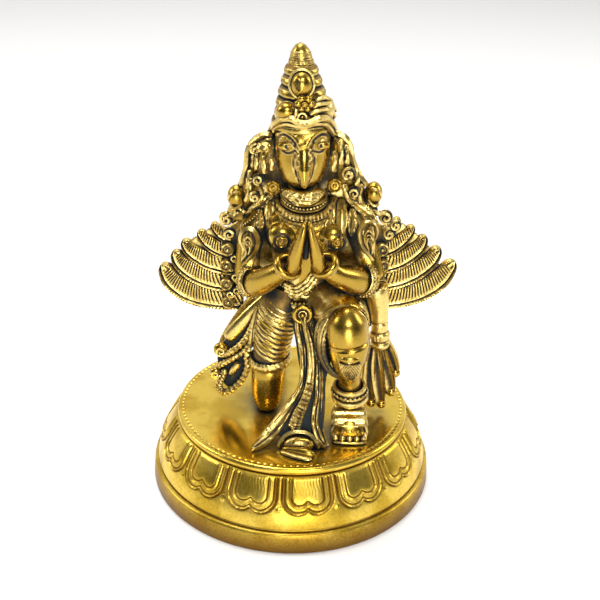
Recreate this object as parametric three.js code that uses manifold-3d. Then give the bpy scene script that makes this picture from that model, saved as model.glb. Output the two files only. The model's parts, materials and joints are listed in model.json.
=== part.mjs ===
// A cast brass garuda, kneeling on one knee with palms together and wings spread,
// fixed on a round plinth with a ring of lotus petals.
// Millimetres, +Z up, the face looks along -Y. The origin is under the middle of the plinth.

import * as THREE from 'three';
import { mergeVertices } from 'three/addons/utils/BufferGeometryUtils.js';
import Module from 'manifold-3d';

const wasm = await Module();
wasm.setup();

// Plinth sizes
const PLINTH_HEIGHT = 31;
const PLINTH_RADIUS = 57.5;
const FLANGE_HEIGHT = 8.3;
const FLANGE_DRAFT = 0.8;
const FLANGE_LEDGE = 2;
const FLANGE_GROOVE = 1.3;
const GROOVE_DEPTH = 0.5;
const BELL_INSET = 9;
const BELL_CURVE = 1.5;
const LIP_HEIGHT = 3.2;
const LIP_ROUND = 0.8;
const LIP_UNDERCUT = 0.5;
const PETAL_COUNT = 15;
const PETAL_FIRST_ANGLE = 7.4;
const PETAL_RELIEF = 0.9;
const PETAL_LENGTH = 10.8;
const PETAL_RIM = 2;

// Figure sizes. Its pose and carving are shares of its height, in hundredths.
const FIGURE_HEIGHT = 147;
const FIGURE_OFFSET = 3.7;
const SEAT_GAP = 0.3;
const SHARE = FIGURE_HEIGHT / 100;

const BRASS = new THREE.MeshStandardMaterial({ color: 0xc79a3b, roughness: 0.3, metalness: 1 });
const POLISHED = new THREE.MeshStandardMaterial({ color: 0xd2a640, roughness: 0.18, metalness: 1 });

// Solids

/** A closed three.js geometry as a solid that can be joined and cut. */
function solid(geometry) {
  const bare = geometry.clone();
  bare.deleteAttribute('normal');
  bare.deleteAttribute('uv');
  const merged = mergeVertices(bare, 1e-4);
  const ids = merged.index.array;
  const index = [];
  for (let i = 0; i < ids.length; i += 3) {
    const [a, b, c] = [ids[i], ids[i + 1], ids[i + 2]];
    if (a !== b && b !== c && c !== a) index.push(a, b, c);
  }
  return new wasm.Manifold(new wasm.Mesh({
    numProp: 3,
    vertProperties: Float32Array.from(merged.attributes.position.array),
    triVerts: Uint32Array.from(index),
  }));
}

function join(solids) {
  return solids.reduce((whole, next) => whole.add(next));
}

/** The geometry of a solid, for a mesh. */
function geometryOf(shape) {
  const mesh = shape.getMesh();
  const geometry = new THREE.BufferGeometry();
  geometry.setAttribute('position', new THREE.BufferAttribute(new Float32Array(mesh.vertProperties), 3));
  geometry.setIndex(new THREE.BufferAttribute(new Uint32Array(mesh.triVerts), 1));
  return geometry;
}

/** A point of the figure, from shares of its height. */
function at(x, y, z) {
  return new THREE.Vector3(x, y, z).multiplyScalar(SHARE);
}

/** An ellipsoid, from its middle and half sizes in shares. */
function ball(middle, halves, around = 5, down = 4) {
  const geometry = new THREE.SphereGeometry(1, around, down);
  geometry.rotateX(Math.PI / 2);
  geometry.scale(...halves.map((half) => half * SHARE));
  geometry.translate(...at(...middle).toArray());
  return solid(geometry);
}

/** The value of one column of a list of rows, at t from 0 to 1 along it. */
function columnAt(rows, column, t) {
  const place = t * (rows.length - 1);
  const low = Math.min(Math.floor(place), rows.length - 2);
  return THREE.MathUtils.lerp(rows[low][column], rows[low + 1][column], place - low);
}

/** The outline across a swept body: pairs of across and forward, going from the front towards across. */
function roundSection(sides) {
  return Array.from({ length: sides }, (_, i) => {
    const angle = (2 * Math.PI * i) / sides;
    return [Math.sin(angle), Math.cos(angle)];
  });
}

/** An outline with folds on its front and a flat back. */
function foldedSection(folds, trough = 0.1) {
  const last = 2 * folds;
  const front = Array.from({ length: last + 1 }, (_, i) => [(2 * i) / last - 1, i % 2 ? 1 : trough]);
  return [...front, [0.85, -0.8], [-0.85, -0.8]];
}

const RING_CLEARANCE = 0.012;

/** Places along a swept body, with how far it stands out there: even steps, and three for each ring. */
function stationsAlong(steps, rings) {
  const even = Array.from({ length: steps + 1 }, (_, i) => [i / steps, 0]);
  const clear = ([t]) => t === 0 || t === 1
    || rings.every(([middle, , half]) => Math.abs(t - middle) > half + RING_CLEARANCE);
  const ringed = rings.flatMap(([t, proud, half]) => [[t - half, 0], [t, proud], [t + half, 0]]);
  return [...even.filter(clear), ...ringed]
    .sort((a, b) => a[0] - b[0])
    .filter(([t], i, all) => i === 0 || t - all[i - 1][0] > 1e-3);
}

/**
 * A body swept along a curve. Each row is x, y, z, half width and half depth, in shares.
 * The width lies along across. Each ring is its place from 0 to 1, how far it stands out and its half length.
 * A section gives the body another outline than a round one.
 */
function sweep(rows, options = {}) {
  const { across = [1, 0, 0], sides = 8, section, steps = rows.length - 1, rings = [], closed = 0.6 } = options;
  const outline = section ?? roundSection(sides);
  const table = rows.map(([x, y, z, width, depth = width]) => [x, y, z, width, depth]);
  const curve = new THREE.CatmullRomCurve3(table.map(([x, y, z]) => at(x, y, z)), false, 'centripetal');
  const stations = stationsAlong(steps, rings);
  const hint = new THREE.Vector3(...across);
  const geometry = new THREE.CylinderGeometry(1, 1, 1, outline.length, stations.length - 1);
  const place = geometry.attributes.position;
  for (let i = 0; i < place.count; i += 1) {
    const [t, proud] = stations[Math.round((0.5 - place.getY(i)) * (stations.length - 1))];
    const turn = Math.atan2(place.getX(i), place.getZ(i)) / (2 * Math.PI) + 1;
    const spoke = Math.round(turn * outline.length) % outline.length;
    const [a, b] = outline[spoke].map((v) => v * Math.hypot(place.getX(i), place.getZ(i)));
    const middle = curve.getPoint(t);
    const tangent = curve.getTangent(t);
    const side = hint.clone().addScaledVector(tangent, -hint.dot(tangent)).normalize();
    const front = new THREE.Vector3().crossVectors(tangent, side);
    const end = t === 0 || t === 1 ? closed : 1;
    middle.addScaledVector(side, a * end * (columnAt(table, 3, t) + proud) * SHARE);
    middle.addScaledVector(front, b * end * (columnAt(table, 4, t) + proud) * SHARE);
    place.setXYZ(i, middle.x, middle.y, middle.z);
  }
  return solid(geometry);
}

/** Evenly spaced rings for a sweep, touching each other. */
function ringRow(from, to, count, proud) {
  const half = (to - from) / count / 2;
  return Array.from({ length: count }, (_, i) => [from + half * (2 * i + 1), proud, half]);
}

/** A loose ring round a limb: its middle, the way the limb runs, its half width and depth, its thickness. */
function loop(middle, way, [width, depth], thick, around = 12) {
  const geometry = new THREE.TorusGeometry(1, 1, 3, around);
  const place = geometry.attributes.position;
  for (let i = 0; i < place.count; i += 1) {
    const angle = Math.atan2(place.getY(i), place.getX(i));
    const out = Math.hypot(place.getX(i), place.getY(i)) - 1;
    place.setXYZ(
      i,
      Math.cos(angle) * (width + out * thick) * SHARE,
      Math.sin(angle) * (depth + out * thick) * SHARE,
      place.getZ(i) * thick * SHARE,
    );
  }
  const up = new THREE.Vector3(0, 0, 1);
  const limb = new THREE.Vector3(...way).normalize();
  geometry.applyQuaternion(new THREE.Quaternion().setFromUnitVectors(up, limb));
  geometry.translate(...at(...middle).toArray());
  return solid(geometry);
}

/** A round boss that faces the viewer, with a raised middle. */
function boss([x, y, z], radius, thick) {
  return [
    ball([x, y, z], [radius, thick, radius], 6, 4),
    ball([x, y - thick * 0.8, z], [radius * 0.45, thick * 0.6, radius * 0.45], 5, 3),
  ];
}

// The head and what surrounds it

const HEAD_X = -1.2;
const HAIR_X = -1.8;
const CROWN_LEAN = 0.052;
const CROWN_SIDES = 8;

function head() {
  return [
    sweep([
      [HEAD_X, -2.4, 65.6, 2.8, 3.4], [HEAD_X, -1.6, 68.2, 5, 6], [HEAD_X, -0.8, 72, 6.5, 7.3],
      [HEAD_X, -0.3, 76.5, 6.9, 7.6], [HEAD_X, 0, 81, 6.8, 7.2],
    ], { steps: 4 }),
    sweep([
      [HEAD_X, -7, 79, 0.9, 1.2], [HEAD_X, -8.9, 76, 1.8, 2], [HEAD_X, -10.4, 73, 2.3, 2.6],
      [HEAD_X, -11.1, 70, 1.5, 1.9], [HEAD_X + 0.2, -10.6, 67.4, 0.5, 0.8],
    ], { sides: 5 }),
    ...[-1, 1].flatMap((side) => [
      ball([HEAD_X + 3.8 * side, -6.5, 76.8], [2, 1.2, 1.2], 5, 3),
      sweep([
        [HEAD_X + side, -7.9, 78.6, 0.5], [HEAD_X + 3.6 * side, -7.3, 80.3, 0.7],
        [HEAD_X + 6.4 * side, -4.8, 79, 0.4],
      ], { sides: 4 }),
    ]),
  ];
}

/** The tall tiered crown, turned round its axis and leaned, with its jewels and headband. */
function crown() {
  const tiers = [
    [8.1, 79.6], [7.9, 81.8], [6.5, 82.7], [7, 84], [5.9, 85.1], [6.3, 86.6], [5.3, 87.7], [5.5, 89.2],
    [4.4, 90.4], [4.7, 91.9], [3.6, 93], [3.9, 94], [2.9, 95], [2.7, 97], [1.3, 99.4],
  ];
  const foot = tiers[0][1];
  const outline = [[0, foot], ...tiers, [0, 100]].map(([r, z]) => new THREE.Vector2(r * SHARE, z * SHARE));
  const geometry = new THREE.LatheGeometry(outline, CROWN_SIDES);
  geometry.rotateX(Math.PI / 2);
  const place = geometry.attributes.position;
  for (let i = 0; i < place.count; i += 1) {
    place.setX(i, place.getX(i) + HEAD_X * SHARE - (place.getZ(i) - foot * SHARE) * CROWN_LEAN);
  }
  return [
    solid(geometry),
    ball([-1.9, -5, 91.4], [1.9, 1.8, 2.6]),
    ball([-1.5, -6.8, 86.8], [2.2, 1.6, 2]),
    ball([-5.8, -5.6, 86.2], [2.6, 2, 2]),
    sweep([
      [HEAD_X - 7.4, -3.4, 83, 0.9], [HEAD_X - 4, -7.2, 81.6, 1.1], [HEAD_X, -8.6, 80.8, 1.2],
      [HEAD_X + 4, -7.2, 81.8, 1.1], [HEAD_X + 7.4, -3.4, 83.4, 0.9],
    ], { across: [0, 1, 0], sides: 4 }),
  ];
}

/** Hair behind the face, and on each side the arch over the ear, the ear, its rings and the curls below. */
function hair() {
  const sides = [
    { side: -1, disc: -8.8, spiral: -11.2, knob: [-18, 60.4], curls: [[-14.6, 62.6], [-20.4, 55.4]] },
    { side: 1, disc: 7.6, spiral: 10.4, knob: [17.2, 61.8], curls: [[13, 62.2], [20.8, 55.6], [23, 52.6]] },
  ];
  return [
    ball([HAIR_X, 2.8, 70.4], [12.4, 2.8, 7.6], 7, 4),
    sweep([[HAIR_X - 14, 3, 59, 4, 2.6], [HAIR_X, 3.2, 63, 6, 3.2], [HAIR_X + 14.6, 3, 59.6, 4, 2.6]],
      { across: [0, 0, 1], sides: 5 }),
    ...sides.flatMap(({ side, disc, spiral, knob, curls }) => {
      const x = (out) => HAIR_X + out * side;
      return [
        sweep([
          [x(6.2), 1.6, 78.8, 1.2], [x(10), 1.2, 76.6, 1.4], [x(12.6), 1, 72.6, 1.4],
          [x(13), 1, 68, 1.4], [x(14.4), 1.5, 63.4, 1.5],
        ], { across: [0, 1, 0], sides: 4 }),
        sweep([[x(7.6), 0.4, 79, 1.6], [x(8.8), -0.6, 74.5, 2], [x(9.2), 0.6, 66, 2]], { sides: 4 }),
        ball([disc, -2.6, 65.5], [2.2, 2.6, 2.2], 6, 3),
        sweep([[x(12), 2, 69, 2.8, 2.6], [x(14), 2.8, 61, 3.8, 3], [x(17.4), 4.4, 52, 3.6, 2.8]],
          { sides: 4, closed: 0.8 }),
        ball([spiral, -0.6, 65.6], [2.2, 3, 2.4], 5, 3),
        ball([knob[0], 1.6, knob[1]], [2.4, 2.8, 3.2], 5, 3),
        ...curls.map(([cx, z]) => ball([cx, 0.25 * Math.abs(cx - HAIR_X) - 1.6, z], [2.3, 2.8, 2.2], 5, 3)),
      ];
    }),
  ];
}

// The trunk and arms

function torso() {
  return [
    sweep([
      [0, 1, 27.5, 7, 5.5], [0, 1, 31, 9.4, 6.8], [0, 0.6, 36, 8.6, 6.4], [0.2, 0.4, 40, 7.8, 5.8],
      [0, 0, 45, 8.4, 6], [-0.2, -0.4, 50.5, 10, 6.6], [-0.3, -0.2, 55.5, 11.4, 6], [-0.5, 0, 59.5, 7.2, 4.8],
      [-0.9, -0.2, 63, 4, 4], [-1, -0.2, 67, 3.8, 4],
    ], { sides: 7, rings: [[0.155, 0.9, 0.025], [0.215, 1.1, 0.03]] }),
    ...boss([-0.2, -7.6, 33.2], 2.9, 1.9),
    ...[-1, 1].map((side) => ball([6.4 * side, -5.4, 52.8], [2.8, 2.8, 2.8], 6, 4)),
  ];
}

/** Two necklaces, and pointed leaves from them over the shoulders and breast. */
function collar() {
  const leaf = (from, to, half, bulge) => sweep([
    [...from, half * 0.5, 0.6],
    [...from.map((v, i) => THREE.MathUtils.lerp(v, to[i], 0.5) - (i === 1 ? bulge : 0)), half, 0.8],
    [...to, half * 0.4, 0.5],
  ], { sides: 4 });
  return [
    loop([-0.6, -1, 61.8], [0, 0.5, 1], [5.4, 4.8], 1, 9),
    loop([-0.5, -1.4, 59.4], [0, 0.7, 1], [7.4, 6], 1.1, 10),
    ...[-1, 1].flatMap((side) => [
      leaf([5.5 * side, -3.8, 61], [15 * side, -3.4, 54.4], 1.8, 0.8),
      leaf([5.6 * side, -5, 59.8], [10.2 * side, -6, 52.6], 1.8, 0.3),
      leaf([3.2 * side, -5.2, 58.8], [3.2 * side, -6.6, 50.4], 1.7, 0.2),
    ]),
  ];
}

// Each arm: shoulder, elbow, wrist, and the point of the palm's heel
const ARMS = [
  {
    side: -1, elbow: [-15, -3.2, 38.8], mid: [-11.4, -8, 40.8], cuff: [-7.2, -12.4, 46],
    wrist: [-4.5, -14, 49.2],
  },
  {
    side: 1, elbow: [18, -3.2, 39.4], mid: [11.6, -8.8, 42.8], cuff: [7.6, -12.6, 46.4],
    wrist: [4.9, -14, 49],
  },
];

function arm({ side, elbow, mid, cuff, wrist }) {
  const [ex, ey, ez] = elbow;
  return [
    sweep([
      [10.6 * side, 0.4, 57, 3.2], [13.6 * side, -0.6, 52.6, 3.9], [(ex + 14.4 * side) / 2, -2, 46, 3.6],
      [ex, ey + 0.4, ez, 3.6],
    ], { sides: 6, rings: [[0.78, 0.5, 0.05]] }),
    sweep([[ex, ey + 1, ez - 1.4, 3.6], [...mid, 3.7], [...cuff, 2.7], [...wrist, 2]],
      { across: [0, 1, 0], sides: 6, rings: [[0.66, 0.8, 0.06], [0.86, 0.9, 0.06]] }),
    sweep([
      [14 * side, -2.8, 57.4, 1.6, 1.4], [14.6 * side, -3.8, 53.6, 2.8, 1.9], [14 * side, -4.4, 48, 1.4, 1.4],
    ], { sides: 4 }),
  ];
}

/** The two palms, pressed together with the fingers up. */
function hands() {
  const middle = 0.2;
  return [-1, 1].flatMap((side) => [
    sweep([
      [middle + 4.6 * side, -14, 48.6, 2, 2.2], [middle + 2.6 * side, -15.2, 52, 2, 2.6],
      [middle + 1.3 * side, -15.8, 55.8, 1.4, 2.4], [middle + 0.7 * side, -15.9, 59.2, 0.9, 1.7],
      [middle + 0.4 * side, -15.8, 62, 0.5, 0.8],
    ], { sides: 6 }),
    sweep([
      [middle + 2.4 * side, -13.4, 51, 1], [middle + 1.1 * side, -12.8, 54.6, 0.9],
      [middle + 0.6 * side, -12.8, 57.4, 0.5],
    ], { sides: 4 }),
  ]);
}

// The wings. Each feather of one wing, from the lowest up: out from the middle, height and half width.
const FEATHERS = [
  [[17.5, 29.3, 2.6], [25, 29.6, 3], [31, 31.2, 3.1], [35.6, 34.8, 2.9], [37.8, 39.4, 1.9]],
  [[17.5, 34.2, 2.4], [24.5, 35, 2.7], [29.4, 37, 2.7], [33, 40, 2.3], [34.6, 43.2, 1.4]],
  [[17.5, 38.8, 2.4], [24, 40, 2.5], [28, 41.9, 2.4], [30.8, 44.2, 1.9], [32, 46.4, 1.1]],
  [[17.5, 42.8, 2.2], [22.6, 44.2, 2.2], [25.9, 46.4, 1.9], [28, 49, 1]],
  [[17.5, 46.6, 2], [21.6, 48.2, 1.8], [24.6, 51, 0.9]],
];
const WINGS = [
  { side: -1, rootLift: 0, tipLift: 0, tipShift: [0, 0, 0, 0, 0] },
  { side: 1, rootLift: 0.9, tipLift: 2.6, tipShift: [2, 0.9, -0.6, 0.4, 0] },
];

function wing({ side, rootLift, tipLift, tipShift }) {
  const [root] = FEATHERS[0][0];
  const vane = [[0, 0.4], [0.75, 1], [1, 0], [0, -1], [-1, 0], [-0.75, 1]];
  const feathers = FEATHERS.map((rows, i) => sweep(rows.map(([out, z, half], k) => {
    const t = k / (rows.length - 1);
    const lift = THREE.MathUtils.lerp(rootLift, tipLift, t);
    return [(out + tipShift[i] * t * t) * side, 4.8 + 0.3 * i + 0.04 * (out - root), z + lift, half, 1.4];
  }), { across: [0, 0, side], section: vane, closed: 0.75 }));
  const studs = [[20.6, 29], [20.3, 34.6], [20, 40.4], [19.8, 45], [19.6, 49.4]]
    .map(([out, z]) => ball([out * side, 3.6, z + rootLift], [1.9, 1.9, 1.9], 4, 3));
  return [...feathers, ...studs];
}

/** The plate behind the arms that carries both wings. */
function wingRoots() {
  return [
    sweep([
      [-21, 5.4, 38.4, 9.4, 1.8], [-11, 5, 43, 12, 2.8], [0, 4.4, 46, 12.4, 3], [11, 5, 44, 12, 2.8],
      [21.4, 5.4, 39.6, 9.4, 1.8],
    ], { across: [0, 0, 1], sides: 6 }),
  ];
}

// The legs

/** The leg that kneels: pleated cloth, a band, the bare knee, and the shin and foot lying back. */
function kneelingLeg() {
  return [
    sweep([
      [-4.4, 0, 35, 5.6, 5.6], [-6.4, -2, 30, 5.9, 5.6], [-8, -3.2, 22.6, 5.3, 5.3], [-9, -3.8, 12.6, 4.7, 5],
    ], { sides: 7, rings: [...ringRow(0.2, 0.84, 5, 0.8), [0.92, 0.9, 0.07]] }),
    sweep([[-9, -3.8, 14.5, 4.4], [-9.3, -3.8, 9.6, 4.3], [-9.4, -3.8, 4.6, 3.6], [-9.4, -3.6, -0.4, 1.9]],
      { sides: 7 }),
    sweep([
      [-9.4, -3, 3.6, 3, 3.4], [-9.2, 5, 4.2, 3.5, 3.9], [-8.8, 13, 3.8, 3, 3.2], [-8.6, 19, 3.8, 2.6, 2.7],
      [-8.7, 22.8, 4.2, 3.2, 3.2], [-8.8, 26.4, 1.2, 3, 1.4],
    ], { sides: 7, rings: [[0.68, 0.6, 0.04]] }),
  ];
}

/** The leg that stands: thigh towards the viewer, hem, bare knee, shin with its rings, and the foot. */
function standingLeg() {
  return [
    sweep([
      [3.6, 2, 32.6, 6, 5.8], [6.8, -4, 33.6, 6.5, 6.4], [9.4, -9.4, 32, 6.4, 6.4], [10, -12, 31, 6.2, 6.2],
    ], { sides: 7, rings: [[0.86, 0.8, 0.08]] }),
    sweep([
      [10.9, -13.2, 36, 2.8], [10.9, -13.5, 34, 4.7], [10.9, -13.9, 30.4, 5.4], [11.1, -14.6, 25.6, 5],
      [11.6, -15, 20.6, 4.7], [12.2, -14.2, 16, 4.1], [12.6, -13, 11, 3.6], [12.9, -12.2, 6.6, 3.5],
      [12.9, -11.6, 3, 3.6],
    ], { sides: 7, rings: [[0.56, 0.6, 0.03], [0.76, 0.7, 0.03], [0.85, 0.9, 0.04]] }),
    ball([11.5, -18.6, 24], [3, 2.2, 2.4]),
    sweep([
      [12.8, -7.4, 2.4, 3, 2.6], [12.8, -12, 4.2, 3.8, 4.2], [12.6, -16, 3.6, 4.3, 3.8],
      [12.6, -20, 1.8, 4.2, 2.2],
    ], { sides: 7, rings: [[0.62, 0.6, 0.08]] }),
    sweep([[8.6, -19.4, 1.2, 1.2, 1.3], [12.6, -20.6, 1.3, 1.2, 1.3], [16.6, -19.4, 1.2, 1.2, 1.3]],
      { across: [0, 1, 0], sides: 4, rings: ringRow(0, 1, 5, 0.4) }),
  ];
}

// The cloth

// The strip in front: its middle, height and half width from the belt down to the plate
const STRIP = [
  [-0.2, -8.6, 31.4, 2.6], [1.4, -11, 27, 3.2], [2.7, -13, 21.4, 3.4], [1.6, -15.4, 15.4, 3.6],
  [-0.6, -17.6, 11, 4.4], [-2.6, -19.4, 6.6, 5.8], [-4, -20.4, 0.4, 8.6],
];

/** The cloth that falls from the belt to the plate, its folds, and the shell under its hem. */
function strip() {
  return [
    sweep(STRIP.map(([x, y, z, half], k) => [x, y, z, half, 1 + 0.1 * k]),
      { section: foldedSection(4), closed: 1 }),
    sweep([[-9, -20.2, 4, 1.8], [-12, -21.2, 2, 1.3], [-15.6, -22.4, 0.5, 0.5]], { sides: 4 }),
    ball([-0.8, -21.8, 1.2], [4.4, 4, 3], 6, 4),
  ];
}

/** The flaring cloth beside the kneeling leg, ending in knobs and a loop. */
function leftCloth() {
  return [
    sweep([
      [-9, -1.4, 33, 3, 2.4], [-13.4, -1.8, 26, 3.8, 2], [-17, -2.2, 18, 4.8, 1.8], [-18.4, -2.4, 8, 2.8, 1.4],
    ], { section: foldedSection(3, 0.2) }),
    sweep([[-14.6, -2.2, 27, 1.5], [-17.8, -2, 22.6, 1.8], [-21.6, -1.8, 17.4, 1.9]], { sides: 5 }),
    sweep([[-15.6, -2.6, 21, 1.2], [-18.8, -2.6, 16, 1.7], [-22.2, -2.2, 11.2, 1.8]], { sides: 5 }),
    sweep([[-15, -3.6, 14, 1.2], [-15.8, -3.6, 8.6, 1.3], [-19.2, -3, 4.4, 1.5], [-22.2, -2.6, 8, 1]],
      { sides: 4 }),
  ];
}

/** The sash that falls from the elbow beside the standing leg, with two bands and flared tips. */
function rightCloth() {
  const tips = [
    [[22, -3.6, 22, 1.5], [25, -3.4, 17, 1.7], [26, -3, 12, 1.3]],
    [[21.4, -4, 21.6, 1.5], [23.4, -3.8, 13, 2], [25.2, -3.4, 6.8, 1.2]],
    [[20.4, -4.2, 21, 1.6], [21, -4.2, 11, 2.1], [22.2, -4, 3, 1.2]],
    [[19.2, -4, 20, 1.6], [18.6, -4, 10, 1.9], [19.4, -3.8, 2.4, 1]],
  ];
  return [
    sweep([[18.6, -3.4, 38.6, 3.6], [19.8, -3.6, 32.5, 2.7], [20.4, -4, 26.6, 2.4], [20.9, -4, 20, 2.6]],
      { sides: 6, rings: [[0.45, 0.4, 0.05], [0.66, 0.4, 0.05], [0.86, 0.6, 0.07]] }),
    ...tips.map((rows) => sweep(rows, { sides: 4, closed: 0.5 })),
    sweep([[9, 1, 34, 3, 3], [15.6, -0.6, 31, 3, 2], [19, -2, 26, 2.4, 1.6]], { sides: 5 }),
  ];
}

/** The short skirt behind, over the seat. */
function backSkirt() {
  return [sweep([[0, 3.4, 36, 8, 3.4], [0, 5, 30, 9.6, 4.2], [0, 5, 24, 9.8, 3.6], [0, 4, 21.6, 8.6, 2.6]],
    { across: [-1, 0, 0], section: foldedSection(5, 0.6) })];
}

/** The whole figure as one casting, cut flat where it stands on the plate. */
function figure() {
  const parts = [
    torso(), collar(), head(), crown(), hair(), ...WINGS.map(wing), wingRoots(), ...ARMS.map(arm), hands(),
    kneelingLeg(), standingLeg(), strip(), leftCloth(), rightCloth(), backSkirt(),
  ].flat();
  const cutter = new THREE.BoxGeometry(FIGURE_HEIGHT, FIGURE_HEIGHT, FIGURE_HEIGHT);
  cutter.translate(0, 0, -FIGURE_HEIGHT / 2);
  return join(parts).subtract(solid(cutter));
}

// The plinth

const LIP_FOOT = PLINTH_HEIGHT - LIP_HEIGHT;
const BELL_FOOT = FLANGE_HEIGHT + FLANGE_GROOVE;
const BELL_RADIUS = PLINTH_RADIUS - FLANGE_LEDGE;
const LIP_RADIUS = BELL_RADIUS - BELL_INSET;

/** The bell's radius at a height, from the flange up to the lip. */
function bellRadius(z) {
  const down = THREE.MathUtils.clamp((LIP_FOOT - z) / (LIP_FOOT - BELL_FOOT), 0, 1);
  const top = LIP_RADIUS + LIP_UNDERCUT;
  return top + (BELL_RADIUS - top) * (1 - (1 - down) ** BELL_CURVE);
}

/**
 * The turned plinth, with the petals raised on its bell. Four columns make a petal: the notch in the middle
 * of its lower edge, one lobe, the strip before the next petal, and that petal's first lobe.
 */
function plinth() {
  const edge = LIP_FOOT - PETAL_LENGTH;
  const raised = (z, relief, lifts = [0, 0, 0, 0]) => ({ z, lifts, reliefs: [relief, relief, 0, relief] });
  const notched = [1.4, 0, 2.6, 0];
  const petalRows = [
    raised(edge - 0.7, 0, notched), raised(edge, PETAL_RELIEF, notched),
    raised(edge + PETAL_RIM, PETAL_RELIEF, notched),
    raised(LIP_FOOT - 1, PETAL_RELIEF * 0.5),
  ];
  const below = [
    [0, 0], [PLINTH_RADIUS, 0], [PLINTH_RADIUS - FLANGE_DRAFT, FLANGE_HEIGHT],
    [BELL_RADIUS - GROOVE_DEPTH, FLANGE_HEIGHT + FLANGE_GROOVE * 0.5], [bellRadius(BELL_FOOT), BELL_FOOT],
  ];
  const above = [
    [bellRadius(LIP_FOOT), LIP_FOOT], [LIP_RADIUS, LIP_FOOT + LIP_ROUND],
    [LIP_RADIUS, PLINTH_HEIGHT - LIP_ROUND], [LIP_RADIUS - LIP_ROUND, PLINTH_HEIGHT], [0, PLINTH_HEIGHT],
  ];
  const outline = [...below, ...petalRows.map(({ z }) => [bellRadius(z), z]), ...above];
  const geometry = new THREE.LatheGeometry(
    outline.map(([r, z]) => new THREE.Vector2(r, z)),
    4 * PETAL_COUNT,
    THREE.MathUtils.degToRad(PETAL_FIRST_ANGLE),
  );
  geometry.rotateX(Math.PI / 2);
  const place = geometry.attributes.position;
  for (let i = 0; i < place.count; i += 1) {
    const column = Math.floor(i / outline.length) % 4;
    const row = petalRows[(i % outline.length) - below.length];
    if (row) {
      const z = row.z + row.lifts[column];
      const out = (bellRadius(z) + row.reliefs[column]) / Math.hypot(place.getX(i), place.getY(i));
      place.setXYZ(i, place.getX(i) * out, place.getY(i) * out, z);
    }
  }
  return solid(geometry);
}

// The model

const model = new THREE.Group();

const plinthMesh = new THREE.Mesh(geometryOf(plinth()), POLISHED);
plinthMesh.name = 'lotus_plinth';
model.add(plinthMesh);

const figureMesh = new THREE.Mesh(geometryOf(figure()), BRASS);
figureMesh.name = 'garuda_figure';
figureMesh.position.set(FIGURE_OFFSET, 0, PLINTH_HEIGHT + SEAT_GAP);
model.add(figureMesh);

export default model;
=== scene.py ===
"""A cast brass garuda that kneels with its palms together, on a round lotus plinth.

The forms of the casting are built in hundredths of the figure's height: x to the viewer's right, y away from
the viewer, z up from the plinth's plate. They are put in their place, in metres, when the piece is made.
"""

import json
import math

import bpy
import numpy as np
from mathutils import Matrix, Vector
from mathutils.bvhtree import BVHTree

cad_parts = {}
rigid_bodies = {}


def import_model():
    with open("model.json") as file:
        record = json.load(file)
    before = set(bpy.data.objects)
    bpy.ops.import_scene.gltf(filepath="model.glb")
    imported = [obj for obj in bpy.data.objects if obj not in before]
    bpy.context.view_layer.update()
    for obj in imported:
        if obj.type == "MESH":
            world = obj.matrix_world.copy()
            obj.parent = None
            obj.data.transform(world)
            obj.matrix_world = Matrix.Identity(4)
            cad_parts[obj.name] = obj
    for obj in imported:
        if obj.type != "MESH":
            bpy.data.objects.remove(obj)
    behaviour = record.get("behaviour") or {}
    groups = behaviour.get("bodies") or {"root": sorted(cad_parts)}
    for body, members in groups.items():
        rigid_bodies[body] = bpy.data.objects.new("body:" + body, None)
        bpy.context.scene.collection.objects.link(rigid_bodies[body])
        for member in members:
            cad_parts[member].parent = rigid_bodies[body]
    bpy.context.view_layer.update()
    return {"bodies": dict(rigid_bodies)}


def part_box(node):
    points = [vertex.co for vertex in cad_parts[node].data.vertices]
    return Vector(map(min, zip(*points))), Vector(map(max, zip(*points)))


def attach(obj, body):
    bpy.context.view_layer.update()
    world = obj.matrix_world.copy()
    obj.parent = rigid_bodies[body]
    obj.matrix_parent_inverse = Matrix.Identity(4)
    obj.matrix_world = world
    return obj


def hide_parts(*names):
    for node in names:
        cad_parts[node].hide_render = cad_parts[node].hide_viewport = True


bl_info = {
    "name": "Brass garuda",
    "version": (1, 0, 0),
    "blender": (4, 5, 0),
    "location": "3D View > Sidebar > Brass",
    "description": "Models a cast brass garuda on a lotus plinth",
    "category": "Add Mesh",
}

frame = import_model()
ROOT = next(iter(frame["bodies"]))
MM = 0.001

# The figure's place, from the frame
FIGURE_NODE = "garuda_figure"
PLINTH_NODE = "lotus_plinth"
FIGURE_LOW, FIGURE_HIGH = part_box(FIGURE_NODE)
PLINTH_LOW, PLINTH_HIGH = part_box(PLINTH_NODE)
SHARE = (FIGURE_HIGH.z - FIGURE_LOW.z) / 100
FIGURE_PLACE = (3.7 * MM, 0, FIGURE_LOW.z)

# Ways a form can face
VIEWER = (0, -1, 0)
UP = (0, 0, 1)
RIGHT = (1, 0, 0)
LEFT = (-1, 0, 0)

# How brightly a form is polished: smooth skin, carving and cloth; below 0 is painted shade, for dark hollows
SKIN = 1.0
CARVED = 0.55
CLOTH = 0.35
# The tone of painted shade, for hollows, pupils, and the pads and webs put where shade falls
PAINTED_SHADE = -1.3


# Forms: each is its points, its faces and its tone, which is how brightly it is polished and, below 0,
# painted shade

# Grids by their columns and rows, and balls by their fineness, once they are modelled
GRIDS = {}


def clear_selection():
    """Nothing is selected, and nothing is in edit mode."""
    if bpy.context.object and bpy.context.object.mode != "OBJECT":
        bpy.ops.object.mode_set(mode="OBJECT")
    bpy.ops.object.select_all(action="DESELECT")


def points_of(mesh):
    """The mesh's points, a row of x, y and z for each."""
    points = np.empty(len(mesh.vertices) * 3)
    mesh.vertices.foreach_get("co", points)
    return points.reshape(-1, 3)


def taken_mesh():
    """The active object's points and faces, as arrays. The object is removed."""
    source = bpy.context.object
    mesh = source.data
    points = points_of(mesh)
    corners = np.empty(len(mesh.loops), int)
    mesh.loops.foreach_get("vertex_index", corners)
    faces = corners.reshape(len(mesh.polygons), -1)
    bpy.data.objects.remove(source)
    bpy.data.meshes.remove(mesh)
    return points, faces


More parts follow.
